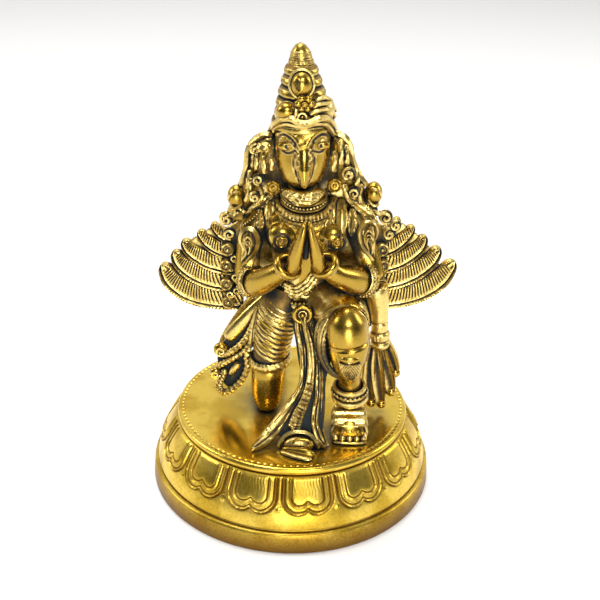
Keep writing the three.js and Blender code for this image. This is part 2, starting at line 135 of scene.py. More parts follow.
def grid(cols, rows):
    """A flat grid, from 0 to 1 both ways, with its faces. Each size is modelled once."""
    if (cols, rows) not in GRIDS:
        clear_selection()
        bpy.ops.mesh.primitive_grid_add(x_subdivisions=cols, y_subdivisions=rows, size=1, location=(0, 0, 0))
        points, faces = taken_mesh()
        GRIDS[cols, rows] = points[:, :2] + 0.5, faces
    return GRIDS[cols, rows]


def small_ball(fineness):
    """A ball of radius 1. Each fineness is modelled once."""
    if fineness not in GRIDS:
        clear_selection()
        bpy.ops.mesh.primitive_ico_sphere_add(subdivisions=fineness, radius=1)
        GRIDS[fineness] = taken_mesh()
    return GRIDS[fineness]


def along(values, t, even=True):
    """Places at each t, from 0 to 1, on the smooth line through a list of values. Where these lie at uneven
    distances, even=False keeps the line from swinging out between them."""
    p = np.asarray(values, float)
    p = np.vstack([2 * p[0] - p[1], p, 2 * p[-1] - p[-2]])
    place = np.clip(t, 0, 1) * (len(p) - 3)
    i = np.minimum(place.astype(int), len(p) - 4)
    w = (place - i)[:, None]
    a, b, c, d = p[i], p[i + 1], p[i + 2], p[i + 3]
    if even:
        start, end = (c - a) / 2, (d - b) / 2
    else:
        gaps = [np.sqrt(np.linalg.norm(n - m, axis=1))[:, None] for m, n in ((a, b), (b, c), (c, d))]
        g0, g1, g2 = [np.maximum(g, 1e-3) for g in gaps]
        start = g1 * ((b - a) / g0 - (c - a) / (g0 + g1) + (c - b) / g1)
        end = g1 * ((c - b) / g1 - (d - b) / (g1 + g2) + (d - c) / g2)
    return b + w * start + w**2 * (3 * (c - b) - 2 * start - end) + w**3 * (2 * (b - c) + start + end)


def unit(vectors):
    """Vectors of the same ways, with length 1."""
    return vectors / np.maximum(np.linalg.norm(vectors, axis=-1, keepdims=True), 1e-9)


def guide(points, t, across):
    """The middle, the way across and the way out of the front, at each t along a curve."""
    step = 1e-3
    middle = along(points, t, even=False)
    ahead = along(points, np.minimum(t + step, 1), even=False)
    behind = along(points, np.maximum(t - step, 0), even=False)
    tangent = unit(ahead - behind)
    hint = np.asarray(across, float)
    side = unit(hint - tangent * (tangent @ hint)[:, None])
    return middle, side, np.cross(tangent, side)


# The most steps that a rounded end takes
CAP_STEPS = 5


def stations(steps, ends):
    """Places along a form, and how much of its width it has there. Both ends are rounded over a share."""
    cap = min(CAP_STEPS, steps // 3)
    turn = np.linspace(0, math.pi / 2, cap + 1)
    first = ends[0] * (1 - np.cos(turn))
    last = 1 - ends[1] * (1 - np.cos(turn))
    middle = np.linspace(ends[0], 1 - ends[1], steps - 2 * cap + 1)
    places = np.concatenate([first[:-1], middle, last[:-1][::-1]])
    widths = np.concatenate([np.sin(turn)[:-1], np.ones(len(middle)), np.sin(turn)[:-1][::-1]])
    return places, widths


# The least half width and depth of a swept form, and the columns of faces on the back of a flat one
LEAST_HALF = 0.02
BACK_COLS = 3


def table_of(rows):
    """Rows of x, y, z, half width and half depth. A row with no depth is as deep as it is wide."""
    return np.array([[*row, row[3]] if len(row) == 4 else row for row in rows], float)


def sweep(rows, across=RIGHT, sides=20, steps=30, relief=None, ends=(0.08, 0.08), gather=0.0, tone=CARVED):
    """A round form swept along a curve. Relief gives how far it stands out, at a place and angle. Gather
    brings its columns together at the front. Tone can be the polishing and painted shade at a place and
    angle."""
    table = table_of(rows)
    uv, faces = grid(sides, steps)
    places, widths = stations(steps, ends)
    row = np.rint(uv[:, 1] * steps).astype(int)
    t, cap = places[row], widths[row]
    angle = -2 * math.pi * uv[:, 0]
    angle = angle - gather * np.sin(angle)
    middle, side, front = guide(table[:, :3], t, across)
    half = np.maximum(along(table[:, 3:], t), LEAST_HALF) * cap[:, None]
    proud = relief(t, angle) * cap if relief else 0
    out = np.sin(angle) * (half[:, 0] + proud)
    fore = np.cos(angle) * (half[:, 1] + proud)
    shade = tone(t, angle) if callable(tone) else tone
    return middle + side * out[:, None] + front * fore[:, None], faces, shade


def slab(rows, across=RIGHT, cols=14, steps=30, edge=0.4, lift=None, ends=(0.06, 0.1), back=0.6, tone=CARVED):
    """A flat form swept along a curve, carved on its front. Lift gives the carving's height at a place
    along and across, which runs from -1 to 1. Edge is how much of the thickness its edges keep, and back how
    much of it lies behind. Tone can be the front's polishing and painted shade at such a place."""
    table = table_of(rows)
    total = cols + BACK_COLS + 2
    uv, faces = grid(total, steps)
    places, widths = stations(steps, ends)
    row = np.rint(uv[:, 1] * steps).astype(int)
    spot = np.rint(uv[:, 0] * total).astype(int) % total
    t, cap = places[row], widths[row]
    front_face = spot <= cols
    s = np.where(front_face, 2 * spot / cols - 1, 1 - 2 * (spot - cols - 1) / BACK_COLS)
    middle, side, front = guide(table[:, :3], t, across)
    half = np.maximum(along(table[:, 3:], t), LEAST_HALF)
    crown = edge + (1 - edge) * np.sqrt(np.maximum(1 - s**2, 0))
    carving = lift(t, s) if lift else 0
    high = half[:, 1] * crown + carving
    depth = np.where(front_face, high, -half[:, 1] * back) * np.sqrt(cap)
    shade = np.where(front_face, tone(t, s), CARVED) if callable(tone) else tone
    return middle + side * (s * half[:, 0] * cap)[:, None] + front * depth[:, None], faces, shade


def painted_shade_pad(t, s):
    """The tone of a slab that is painted dark as shade on its front only, with a few brown spots."""
    return PAINTED_SHADE + 1.3 * np.clip(np.cos(29 * t + 4 * s) * np.cos(6 * s - 37 * t), 0, 1) ** 2


def painted_shade_web(t, s):
    """The tone of the web between two feathers, painted dark as shade on its front only."""
    return PAINTED_SHADE / 2


def turn_to(way):
    """The matrix that turns the upright axis to a way."""
    return np.array(Vector(UP).rotation_difference(Vector(way)).to_matrix())


def turned(profile, origin, way, sides, tone=CARVED):
    """A round form turned on an axis from origin. Its profile is pairs of radius and height."""
    outline = np.asarray(profile, float)
    steps = len(outline) - 1
    uv, faces = grid(sides, steps)
    row = np.rint(uv[:, 1] * steps).astype(int)
    angle = 2 * math.pi * uv[:, 0]
    r, h = outline[row].T
    flat = np.stack([r * np.cos(angle), r * np.sin(angle), h], axis=1)
    return flat @ turn_to(way).T + np.asarray(origin, float), faces, tone


def ring(middle, way, half, thick, around=40, sides=7, relief=None, tone=CARVED):
    """A closed ring round a limb, with its half width and depth, and its thickness outwards and along."""
    uv, faces = grid(around, sides)
    phi, theta = 2 * math.pi * uv[:, 0], 2 * math.pi * uv[:, 1]
    out, tall = thick if isinstance(thick, tuple) else (thick, thick)
    proud = relief(phi, theta) if relief else 0
    reach = np.cos(theta) * (out + proud)
    x, y = np.cos(phi) * (half[0] + reach), np.sin(phi) * (half[1] + reach)
    flat = np.stack([x, y, np.sin(theta) * (tall + proud)], axis=1)
    return flat @ turn_to(way).T + np.asarray(middle, float), faces, tone


def roped(deep, knots, slant=0):
    """The relief of a ring that is cut across that many times, along its section or slanting."""
    return lambda phi, theta: deep * np.cos(knots * phi + slant * theta)


def round_angles(count):
    """That many angles, evenly round a full turn."""
    return np.linspace(0, 2 * math.pi, count + 1)[:-1]


def round_places(middle, way, radius, count, shift=0.0):
    """Places evenly round a circle that faces a way of length 1, shifted along it."""
    phi = round_angles(count)
    flat = np.stack([radius * np.cos(phi), radius * np.sin(phi), np.full(count, shift)], axis=1)
    return flat @ turn_to(way).T + middle


def ball(middle, halves, fineness=3, tone=CARVED):
    """A ball with one radius, or with three half sizes."""
    points, faces = small_ball(fineness)
    return points * np.asarray(halves, float) + np.asarray(middle, float), faces, tone


# The radius above which a bead is made finer
LARGE_BEAD = 0.48


def beads(places, radius):
    """A small ball at each place, plainer where the balls are very small."""
    return [ball(place, radius, 2 if radius > LARGE_BEAD else 1) for place in places]


def even_places(path, spacing):
    """Places at even spacing along a smooth path."""
    fine = along(path, np.linspace(0, 1, 200), even=False)
    far = np.concatenate([[0], np.cumsum(np.linalg.norm(np.diff(fine, axis=0), axis=1))])
    count = max(int(round(far[-1] / spacing)), 2)
    wanted = np.linspace(0, far[-1], count + 1)
    return np.stack([np.interp(wanted, far, fine[:, k]) for k in range(3)], axis=1)


# The shortest step along a cord, and the most steps that a plain one and a twisted one take
CORD_STEP = 0.3
CORD_STEPS = (70, 110)
# How far the columns of a cord come together at its front: of most, of smooth ones and of folds of cloth
CORD_GATHER = 0.55
SMOOTH_GATHER = 1.0
FOLD_GATHER = 0.35


def cord(
    path, thick, across=VIEWER, sides=6, spacing=0.5, twist=0.0, ends=(0.03, 0.03), taper=None,
    gather=CORD_GATHER,
):
    """A carved cord along a path. Twist is how many grooves cross its front in a hundredth of the figure's
    height. Taper gives shares of its thickness, evenly along it."""
    path = np.asarray(path, float)
    span = np.linalg.norm(np.diff(path, axis=0), axis=1).sum()
    halves = np.interp(np.linspace(0, 1, len(path)), np.linspace(0, 1, len(taper)), taper) if taper else 1
    rows = np.column_stack([path, np.ones(len(path)) * halves * thick])
    step = max(spacing, CORD_STEP) if twist else max(spacing, 0.6 * thick, CORD_STEP)
    steps = int(np.clip(span / step, 8, CORD_STEPS[bool(twist)]))
    wind = 2 * math.pi * twist * span

    def strands(t, angle):
        return 0.16 * thick * np.cos(2 * angle + wind * t)

    return sweep(rows, across, sides, steps, strands if twist else None, ends, gather)


def coil(middle, radius, thick, turns=1.6, facing=VIEWER, rise=0.9, hand=1, start=0.0, gather=CORD_GATHER):
    """A curl of hair or metal that winds inwards and rises the way that it faces."""
    s = np.linspace(0, 1, int(14 * turns) + 2)
    reach = radius * (1 - 0.86 * s) - 0.6 * thick * (1 - s)
    phi = start + hand * 2 * math.pi * turns * s
    flat = np.stack([reach * np.cos(phi), reach * np.sin(phi), rise * s], axis=1)
    path = flat @ turn_to(facing).T + np.asarray(middle, float)
    return cord(path, thick, across=facing, sides=7, spacing=radius * 0.18, taper=[1, 1, 0.75], gather=gather)


def curl(middle, radius, hand=1, facing=VIEWER, start=0.0):
    """A coil on a rounded pad, painted dark as shade on its front, so that nothing shows through it."""
    profile = [(0, -0.8), (radius, -0.8), (radius * 0.92, 0.1), (radius * 0.4, 0.3), (0, 0.3)]
    points, faces, _ = turned(profile, middle, facing, sides=14)
    ahead = (points - np.asarray(middle, float)) @ unit(np.array(facing, float))
    pad = (points, faces, np.where(ahead < -0.2, CARVED, PAINTED_SHADE))
    return [pad, coil(middle, radius, 0.27 * radius, turns=1.45, facing=facing, hand=hand, start=start)]


# A round ornament's outline, from the dot over the sunk ring to the rim: shares of its radius and thickness
DISC = [
    (0, 0.95), (0.16, 0.92), (0.27, 0.7), (0.31, 0.35), (0.4, 0.3), (0.56, 0.36), (0.66, 0.8), (0.8, 1),
    (0.94, 0.82), (1, 0.3), (0.96, -1), (0, -1),
]


def disc(middle, radius, facing=VIEWER, thick=0.8, tone=CARVED):
    """A round ornament: a rim, a sunk ring and a raised dot."""
    return turned([(r * radius, h * thick) for r, h in DISC], middle, facing, sides=22, tone=tone)


# A place in front of the whole figure, from which its skin is sought
IN_FRONT = -60


class Ground:
    """The skin of some forms, on which ornaments are laid."""

    def __init__(self, forms):
        points, faces = [], []
        for form_points, form_faces, _ in forms:
            faces.extend((form_faces + len(points)).tolist())
            points.extend(form_points.tolist())
        self.tree = BVHTree.FromPolygons(points, faces)

    def front(self, x, z, out=0.0, otherwise=-6.0):
        """The y of the skin's front at a place, or another y if none is there, moved out to the viewer."""
        hit = self.tree.ray_cast(Vector((x, IN_FRONT, z)), Vector((0, 1, 0)))
        return (hit[0].y if hit[0] else otherwise) - out

    def laid(self, places, out=0.0, otherwise=-6.0):
        """Places of x and z, laid on the skin."""
        return [(x, self.front(x, z, out, otherwise), z) for x, z in places]


# The body


def trunk():
    """The body from the hips to the neck, with the shoulders and breasts."""
    return [
        sweep([
            (0, 1, 27.5, 7, 5.5), (0, 1, 31, 9.4, 6.8), (0, 0.6, 36, 8.6, 6.4), (0.2, 0.4, 40, 7.8, 5.8),
            (0, 0, 45, 8.4, 6), (-0.2, -0.4, 50.5, 10, 6.6), (-0.3, -0.2, 55.5, 11.4, 6),
            (-0.5, 0, 59.5, 7.2, 4.8), (-0.9, -0.2, 63, 4, 4), (-1, -0.2, 67, 3.8, 4),
        ], sides=40, steps=60),
        ball((-0.5, -2.2, 61), (6.2, 4.5, 2.8)),
        ball((-6, -5.2, 52.6), (3.6, 3, 3.6)),
        ball((6.8, -5.2, 52.8), (3.6, 3, 3.6)),
    ]


# The middle of the head
HEAD_X = -1.2

# The beak's middle, half width and how far it stands out, at each height
BEAK = [
    (65.9, -0.6, 0.25, 0), (66.6, -0.6, 0.6, 1.9), (67.8, -0.6, 1.1, 2.9), (69.6, -0.65, 1.7, 3.3),
    (71.8, -0.7, 2.3, 3.1), (74.2, -0.8, 2.4, 2.4), (76.4, -0.85, 2.1, 1.4), (78, -0.9, 2.2, 0.7),
    (80.2, -0.9, 2.2, 0),
]
# Lines on the face: how wide each is and how deep it is cut, or how high it stands if below 0
# Shade is painted into the lines that are cut
FACE_LINES = [
    (0.6, -0.55, [(-1.9, 77.2), (-3.2, 78.8), (-4.8, 79.9), (-6.2, 79.8), (-7.4, 78.1)]),
    (0.6, -0.55, [(-0.3, 77.6), (1.0, 79.2), (2.4, 80.3), (3.8, 80.3), (5.0, 79.1)]),
    (0.4, -0.32, [(-3.0, 76.6), (-4.2, 77.9), (-5.4, 78.4), (-6.7, 77.8), (-7.4, 76.6)]),
    (0.4, -0.32, [(1.1, 76.8), (2.0, 78.1), (3.1, 78.6), (4.3, 78.2), (5.1, 77.0)]),
    (0.32, 0.4, [(-3.0, 80), (-3.6, 80.5), (-4.2, 80.7), (-5.9, 80.8), (-7.4, 79.2)]),
    (0.32, 0.4, [(1.0, 80.5), (1.4, 80.9), (1.8, 81.1), (3.5, 81.3), (4.9, 80.2)]),
    (0.32, 0.36, [(-2.6, 76.7), (-3.8, 78.4), (-5.4, 79.2), (-6.7, 78.7), (-7.6, 77)]),
    (0.32, 0.36, [(0.7, 76.9), (1.5, 78.5), (3.0, 79.4), (4.3, 79.1), (5.2, 77.8)]),
    (0.3, 0.32, [(-7.2, 76.0), (-6.4, 75.3), (-5.2, 74.9), (-4.0, 75.2), (-3.0, 75.9)]),
    (0.3, 0.32, [(1.0, 76.1), (2.0, 75.5), (3.1, 75.2), (4.2, 75.6), (5.1, 76.4)]),
    (0.26, 0.3, [(-2.4, 75.6), (-3.2, 74.2), (-3.3, 72.6), (-2.9, 71.0), (-2.2, 69.2), (-1.4, 67.4)]),
    (0.26, 0.3, [(0.6, 75.8), (1.5, 74.4), (1.7, 72.8), (1.4, 71.0), (0.8, 69.2), (0.2, 67.6)]),
    (0.34, 0.4, [(-2.5, 73.5), (-2.4, 73.1)]),
    (0.34, 0.4, [(0.9, 73.7), (0.8, 73.3)]),
]


def reach_of(x, z, path):
    """How far each place is from a smooth line."""
    line = along(path, np.linspace(0, 1, 48))
    return np.min(np.hypot(x[:, None] - line[:, 0], z[:, None] - line[:, 1]), axis=1)


def skull():
    """The smooth mask of the face, with the beak and brows raised on it and their lines cut in, with shade
    painted into the cuts.
    """
    points, faces, _ = sweep([
        (HEAD_X, -4.4, 65.2, 2.6, 3.2), (HEAD_X, -3.6, 67.2, 4.8, 5.1), (HEAD_X, -2.5, 70, 6.0, 6.2),
        (HEAD_X, -1.4, 73.5, 6.6, 6.8), (HEAD_X, -0.6, 77.5, 6.8, 7.2), (HEAD_X, -0.2, 82.4, 6.9, 7.2),
    ], sides=104, steps=100, ends=(0.14, 0.04), gather=0.55)
    x, y, z = points.T
    heights, middles, widths, prouds = np.array(BEAK).T
    off = np.abs(x - np.interp(z, heights, middles)) / np.interp(z, heights, widths)
    inside = (z > heights[0]) & (z < heights[-1])
    fore = np.interp(z, heights, prouds) * np.maximum(1 - off**2, 0) ** 0.7 * inside
    fore = fore + 0.5 * np.exp(-(((x - HEAD_X) / 3.4) ** 2 + ((z - 67.6) / 1.3) ** 2))
    dark = np.zeros(len(x))
    for width, depth, path in FACE_LINES:
        line = np.exp(-((reach_of(x, z, path) / width) ** 2))
        fore = fore - depth * line
        # Shade painted into the cut lines
        dark = np.maximum(dark, np.minimum(1.35 * line, 1) * (depth > 0))
    ahead = np.clip((-2.2 - y) / 2.5, 0, 1)
    points[:, 1] = y - fore * ahead
    return [(points, faces, SKIN - 1.9 * dark * ahead)]


# The places that each arm passes, and where the ring at its wrist lies
ARMS = [
    {"side": -1, "elbow": (-15, -3.2, 38.8), "middle": (-11.4, -8, 40.8), "cuff": (-7.4, -11.8, 44.9),
     "wrist": (-4.4, -13.4, 47.9), "ring": (-4.3, -13.3, 47.8)},
    {"side": 1, "elbow": (18, -3.2, 39.4), "middle": (11.6, -8.8, 42.6), "cuff": (7.6, -12, 45.4),
     "wrist": (4.8, -13.4, 48.4), "ring": (4.8, -13.3, 48.4)},
]


def limb(arm):
    """The upper and the lower arm."""
    side = arm["side"]
    x, y, z = arm["elbow"]
    return [
        sweep([
            (10.6 * side, 0.8, 57, 3), (13.4 * side, 0, 52.6, 3.4), ((x + 14.2 * side) / 2, -1.6, 46, 3.2),
            (x, y + 0.4, z, 3.4),
        ], steps=24),
        sweep([(x, y + 1, z - 1.2, 3.5), (*arm["middle"], 3.5), (*arm["cuff"], 2.8), (*arm["wrist"], 2.2)],
              across=(0, 1, 0), steps=24),
    ]


# Each palm from the wrist to the finger tips: its middle, half width and half depth
PALMS = {
    -1: [(-3.9, -13.3, 46.6, 1.7, 2.2), (-2.9, -14.2, 49, 1.95, 2.5), (-2.2, -15, 52, 1.65, 2.5),
         (-1.5, -15.4, 55, 1.3, 2.3), (-0.85, -15.7, 58, 0.95, 1.9), (-0.25, -15.8, 61, 0.55, 1.1)],
    1: [(4.4, -13.3, 47.2, 1.7, 2.2), (3.3, -14.2, 49.4, 1.9, 2.5), (2.6, -15, 52.2, 1.6, 2.5),
        (2.0, -15.4, 55.1, 1.25, 2.3), (1.3, -15.7, 58.1, 0.9, 1.9), (0.65, -15.8, 61.1, 0.55, 1.1)],
}


def palms():
    """Two long smooth hands, open at the wrists and pressed together at the finger tips."""
    forms = []
    for side, rows in PALMS.items():
        forms.append(sweep(rows, sides=28, steps=44, ends=(0.06, 0.08), tone=SKIN))
        forms.append(sweep([(0.3 + 2.4 * side, -13.0, 50.6, 0.9), (0.3 + 1.6 * side, -12.8, 54.4, 0.8),
                            (0.3 + 1.0 * side, -13, 57.4, 0.5)], sides=10, steps=12, tone=SKIN))
    # A bar between the palms, painted a little dark as shade
    forms.append(sweep([(-0.1, -12.8, 49.6, 0.9, 0.8), (0.3, -13.4, 54, 0.7, 1), (0.3, -14.2, 58, 0.4, 0.8)],
                       sides=10, steps=14, tone=-0.3))
    return forms


def legs():
    """The thigh, knee, shin and foot of the kneeling leg, those of the standing one, and the seat."""
    return [
        sweep([
            (-4.4, 0, 35, 5.4, 5.4), (-6.4, -2, 30, 5.7, 5.4), (-8, -3.2, 22.6, 5.1, 5.1),
            (-9, -3.8, 12.6, 4.5, 4.8),
        ], steps=30),
        sweep([
            (-9, -3.8, 15, 4.5), (-9.3, -3.8, 9.6, 4.3), (-9.4, -3.8, 4.6, 3.5), (-9.4, -3.7, -0.6, 1.7),
        ], steps=24),
        sweep([
            (-9.4, -3, 3.6, 3, 3.4), (-9.2, 5, 4.2, 3.5, 3.9), (-8.8, 13, 3.8, 3, 3.2),
            (-8.6, 19, 3.8, 2.6, 2.7), (-8.7, 22.8, 4.2, 3.2, 3.2), (-8.8, 26.4, 1.2, 3, 1.4),
        ], steps=36),
        sweep([
            (3.6, 2, 32.6, 6, 5.8), (6.8, -4, 33.6, 6.4, 6.3), (9.4, -9.4, 32, 6.2, 6.2), (10, -12, 31, 6, 6),
        ], steps=24, ends=(0.1, 0.2)),
        sweep([
            (11, -13.8, 30, 4.8), (11.1, -14.4, 25.6, 4.8), (11.7, -14.6, 20.6, 4.0), (12.3, -13.8, 16, 2.9),
            (12.6, -13, 11, 3.3), (12.9, -12.2, 6.6, 3.5), (12.9, -11.6, 2, 3.6),
        ], steps=40),
        sweep([
            (12.8, -7.4, 2.4, 3, 2.6), (12.8, -12, 4.2, 3.8, 4.2), (12.6, -16, 3.6, 4.3, 3.8),
            (12.6, -20, 1.6, 4.2, 2),
        ], steps=30, ends=(0.1, 0.06)),
        sweep([(0, 3.4, 36, 8, 3.4), (0, 4.6, 30, 9.4, 3.6), (0, 4.8, 24, 9.2, 3)], across=LEFT, steps=20),
    ]


def wing_plate():
    """The body of both wings, behind the arms."""
    return [sweep([
        (-21, 5.4, 38.4, 9.2, 1.6), (-11, 5, 43, 11.6, 2.6), (0, 4.4, 46, 12, 2.8), (11, 5, 44, 11.6, 2.6),
        (21.4, 5.4, 39.6, 9.2, 1.6),
    ], across=UP, sides=32, steps=50)]


def hair_mass():
    """The bulk of the hair, behind the ears and down to the shoulders."""
    return [
        ball((-1.6, 2.6, 70.2), (11.8, 2.8, 8.6)),
        ball((-11.2, 1.6, 72.8), (3.8, 2.2, 4.2)),
        ball((8.2, 1.6, 73.6), (3.0, 2.2, 4.2)),
        sweep([(-15.8, 3, 59.6, 4, 2.6), (-1.8, 3.2, 63, 6, 3), (13, 3, 60.4, 4, 2.6)], across=UP, steps=30),
        sweep([(-12.2, 2, 72, 2.6, 2.4), (-14.6, 2.6, 62, 3.2, 2.8), (-18, 4.4, 53, 3.2, 2.6)], steps=20),
        sweep([(8.8, 2, 72, 2.6, 2.4), (11.4, 2.6, 63, 3.2, 2.8), (15.2, 4.4, 54, 3.2, 2.6)], steps=20),
    ]


def modified(piece, kind, **settings):
    """A modifier added to the active piece with its settings, and applied at once."""
    bpy.ops.object.modifier_add(type=kind)
    modifier = piece.modifiers[-1]
    for name, value in settings.items():
        setattr(modifier, name, value)
    bpy.ops.object.modifier_apply(modifier=modifier.name)


def fused(forms, voxel, faces_kept):
    """Forms melted into one skin, smoothed, and thinned to about that many faces."""
    wax = mesh_object("wax", forms, 1.0)
    modified(wax, "REMESH", mode="VOXEL", voxel_size=voxel)
    modified(wax, "SMOOTH", factor=0.5, iterations=4)
    modified(wax, "DECIMATE", ratio=min(1, faces_kept / (2 * len(wax.data.polygons))))
    modified(wax, "TRIANGULATE")
    return taken_mesh()


# Where the cast skin is painted dark, as shade and patination: the middle and the half sizes of each place
SHADED = [
    ((-11, -2, 49.6), (3.6, 8, 7.4)), ((12.2, -2, 50.4), (3.8, 8, 7.4)), ((-6.4, -6, 48.6), (3, 6, 2.2)),
    ((7.4, -6, 48.4), (3, 6, 2.2)), ((-5, -6, 41.2), (3.4, 5, 4.4)), ((7, -6, 39.4), (5, 6, 3.8)),
    ((-7.4, -5, 37.6), (5, 6, 2.8)), ((-1.6, 3, 67), (17, 4.6, 12)), ((-21, 5, 41), (12, 5.6, 12)),
    ((22, 5, 42), (12, 5.6, 12)), ((1, -5, 28), (7, 9, 5)), ((0.2, -6, 58.4), (6, 5, 1.6)),
    ((-1, -4, 66), (6, 5, 2.6)), ((6, -7, 35.2), (6, 6, 4)),
]


def shaded(points, faces):
    """The melted skin, polished, and painted dark where it lies between the ornaments, as shade and
    patination.
    """
    deep = np.zeros(len(points))
    for middle, halves in SHADED:
        far = np.linalg.norm((points - middle) / halves, axis=1)
        deep = np.maximum(deep, np.clip(2.4 * (1 - far), 0, 1))
    return points, faces, SKIN - 1.6 * deep


# How near to each other two points of a seam are, in the forms' own unit
SEAM = 1e-3


def mesh_object(name, forms, scale, place=(0, 0, 0)):
    """One mesh of many forms, its seams closed and its faces pointing out. It is the active object."""
    points = np.concatenate([form[0] for form in forms]) * scale + np.asarray(place)
    tones = np.concatenate([np.broadcast_to(form[2], len(form[0])) for form in forms])
    faces, start = [], 0
    for form_points, form_faces, _ in forms:
        faces.extend((form_faces + start).tolist())
        start += len(form_points)
    mesh = bpy.data.meshes.new(name)
    mesh.from_pydata(points.tolist(), [], faces)
    # Each point's tone goes on the mesh: how brightly it is polished, with the shade painted on it
    mesh.attributes.new("polish_and_shade", "FLOAT", "POINT").data.foreach_set("value", tones.astype(np.float32))
    piece = bpy.data.objects.new(name, mesh)
    bpy.context.collection.objects.link(piece)
    clear_selection()
    piece.select_set(True)
    bpy.context.view_layer.objects.active = piece
    bpy.ops.object.mode_set(mode="EDIT")
    bpy.ops.mesh.select_all(action="SELECT")
    bpy.ops.mesh.remove_doubles(threshold=SEAM * scale)
    bpy.ops.mesh.normals_make_consistent(inside=False)
    bpy.ops.object.mode_set(mode="OBJECT")
    return piece


# The crown and head

CROWN_FOOT = 79.6
CROWN_TOP = 100
# How far it leans to the viewer's left for each hundredth that it rises
CROWN_LEAN = 0.052
# Each tier of the crown: its foot, its radius in the groove and at its fullest, and its lobes
CROWN_TIERS = [
    (79.6, 7.2, 7.9, 0), (82.2, 6.1, 7.1, 8), (84.8, 5.4, 6.6, 8), (87.4, 4.6, 5.9, 7), (90.1, 3.8, 5.1, 7),
    (92.7, 3.1, 4.3, 6), (95.0, 2.7, 3.1, 14), (96.3, 2.4, 2.7, 0), (97.2, 2.2, 2.5, 0),
]
# The top of the last tier, and the height and radius of the smooth tip above it
LAST_TIER_TOP = 98.0
CROWN_TIP = [(CROWN_FOOT, 7.5), (97.2, 2.5), (98.4, 2.0), (99.4, 1.2), (CROWN_TOP, 0)]


def crown():
    """The tall crown, turned in tiers and lobed, with shade painted in the grooves between them and a smooth
    tip.
    """
    uv, faces = grid(84, 84)
    z = CROWN_FOOT + (CROWN_TOP - CROWN_FOOT) * np.sin(uv[:, 1] * math.pi / 2)
    angle = 2 * math.pi * uv[:, 0]
    tops = [tier[0] for tier in CROWN_TIERS[1:]] + [LAST_TIER_TOP]
    radius = np.interp(z, *np.array(CROWN_TIP).T)
    shade = np.full(len(z), 0.9)
    for (foot, groove, full, lobes), top in zip(CROWN_TIERS, tops):
        inside = (z >= foot) & (z < top)
        s = (z - foot) / (top - foot)
        swell = np.sin(math.pi * np.clip(s, 0, 1) ** 0.5) ** 0.6
        r = groove + (full - groove) * swell
        if lobes:
            wave = np.abs(np.sin(lobes * angle / 2 + 1.1 * s))
            r = r - 0.3 * (1 - wave) ** 2.4 * swell
        radius = np.where(inside, r, radius)
        # Shade painted in the grooves between the tiers
        shade = np.where(inside & (swell < 0.72), -0.5, shade)
    radius = np.where(uv[:, 1] <= 0, 0, radius)
    x = HEAD_X + radius * np.cos(angle) - (z - CROWN_FOOT) * CROWN_LEAN
    return [(np.stack([x, radius * np.sin(angle), z], axis=1), faces, shade)]


def crown_jewels():
    """The tall ball with a slot, the flower under it, the round jewel beside it, and the wavy headband."""
    ball_x, ball_z = -1.8, 91.3
    forms = [
        ball((ball_x, -5.4, ball_z), (2.5, 2.2, 3.0), tone=SKIN),
        # A dark ball in the slot, painted as shade
        ball((ball_x - 0.7, -7.4, ball_z + 0.2), (0.5, 0.3, 1.2), 2, tone=-1.2),
        ring((ball_x - 0.7, -7.2, ball_z + 0.2), (-0.2, -1, 0.1), (0.85, 1.5), 0.3, around=24, tone=SKIN),
        ring((ball_x, -5.0, ball_z), (0, -1, 0.15), (2.8, 3.3), 0.42, around=40),
        ball((2.6, -2.6, 84.8), (3.8, 4, 3.6)),
        ball((-4.6, -2.8, 83.4), (3.6, 3.8, 3.2)),
        ball((-5.3, -5.8, 84.9), (2.4, 2.0, 2.1), tone=SKIN),
        ring((-5.2, -5.5, 84.7), (-0.5, -1, 0.1), (2.5, 2.2), 0.36, around=36),
        ball((-1.5, -7.9, 84.2), (0.5, 0.5, 0.5), 2, tone=SKIN),
        ring((-1.5, -8.1, 84.2), VIEWER, (1.0, 1.0), 0.3, around=22, sides=6),
    ]
    for turn in round_angles(6):
        petal = (-1.0 + 1.5 * math.cos(turn), -7.3, 87.2 + 1.35 * math.sin(turn))
        forms.append(ball(petal, (0.95, 0.7, 0.95), 2, SKIN))
    forms.append(ball((-1.0, -8, 87.2), 0.75, 2, SKIN))
    waves = [
        ([(-8.5, -1.4, 79.6), (-7.9, -4.2, 81.3), (-6.2, -6.4, 83.2), (-4.0, -7.9, 83.7), (-2.0, -8.8, 83.0),
          (0.2, -9, 83.1), (2.4, -8.3, 84.0), (4.3, -6.6, 83.6), (5.8, -4, 81.4), (6.5, -1.2, 79.4)], 0.85),
        ([(-8.3, -1.0, 78.2), (-7.5, -4.6, 80.6), (-5.2, -7.2, 82.3), (-1.4, -8.9, 82.2), (1.6, -8.6, 82.9),
          (3.9, -7.1, 82.4), (5.5, -4.4, 80.0), (6.3, -1.0, 77.8)], 0.6),
        ([(-7.6, -3.4, 83.0), (-6.6, -5.4, 82.9), (-4.4, -7.2, 82.6), (-3.0, -7.9, 84.6),
          (-2.8, -7.5, 86.2)], 0.5),
        ([(0.2, -8, 85.0), (1.8, -7.8, 85.6), (3.6, -6.6, 85.8), (5.4, -4.2, 84.6), (6.5, -1.2, 82.4)], 0.55),
        ([(0.9, -7.4, 86.4), (2.6, -6.9, 87.1), (4.2, -5.4, 86.8), (5.7, -3, 85.6), (6.6, -0.6, 83.8)], 0.5),
        ([(1.5, -6.8, 87.8), (3.0, -6, 88.3), (4.4, -4.4, 87.8), (5.6, -2, 86.6)], 0.45),
    ]
    for path, thick in waves:
        forms.append(cord(path, thick, sides=8, spacing=0.35))
    forms.append(cord([(x, y - 0.75, z + 0.1) for x, y, z in waves[0][0]], 0.26, spacing=0.2, twist=0.8))
    return forms


# The middle of each eye, and the side that it is on
EYES = [(-5.1, 76.5, -1), (3.05, 76.8, 1)]
# The upper lid, from the nose outwards and up from the eye's middle
UPPER_LID = [(-2.2, -0.5), (-1.2, 0.8), (0, 1.25), (1.3, 0.85), (2.3, 0.0)]


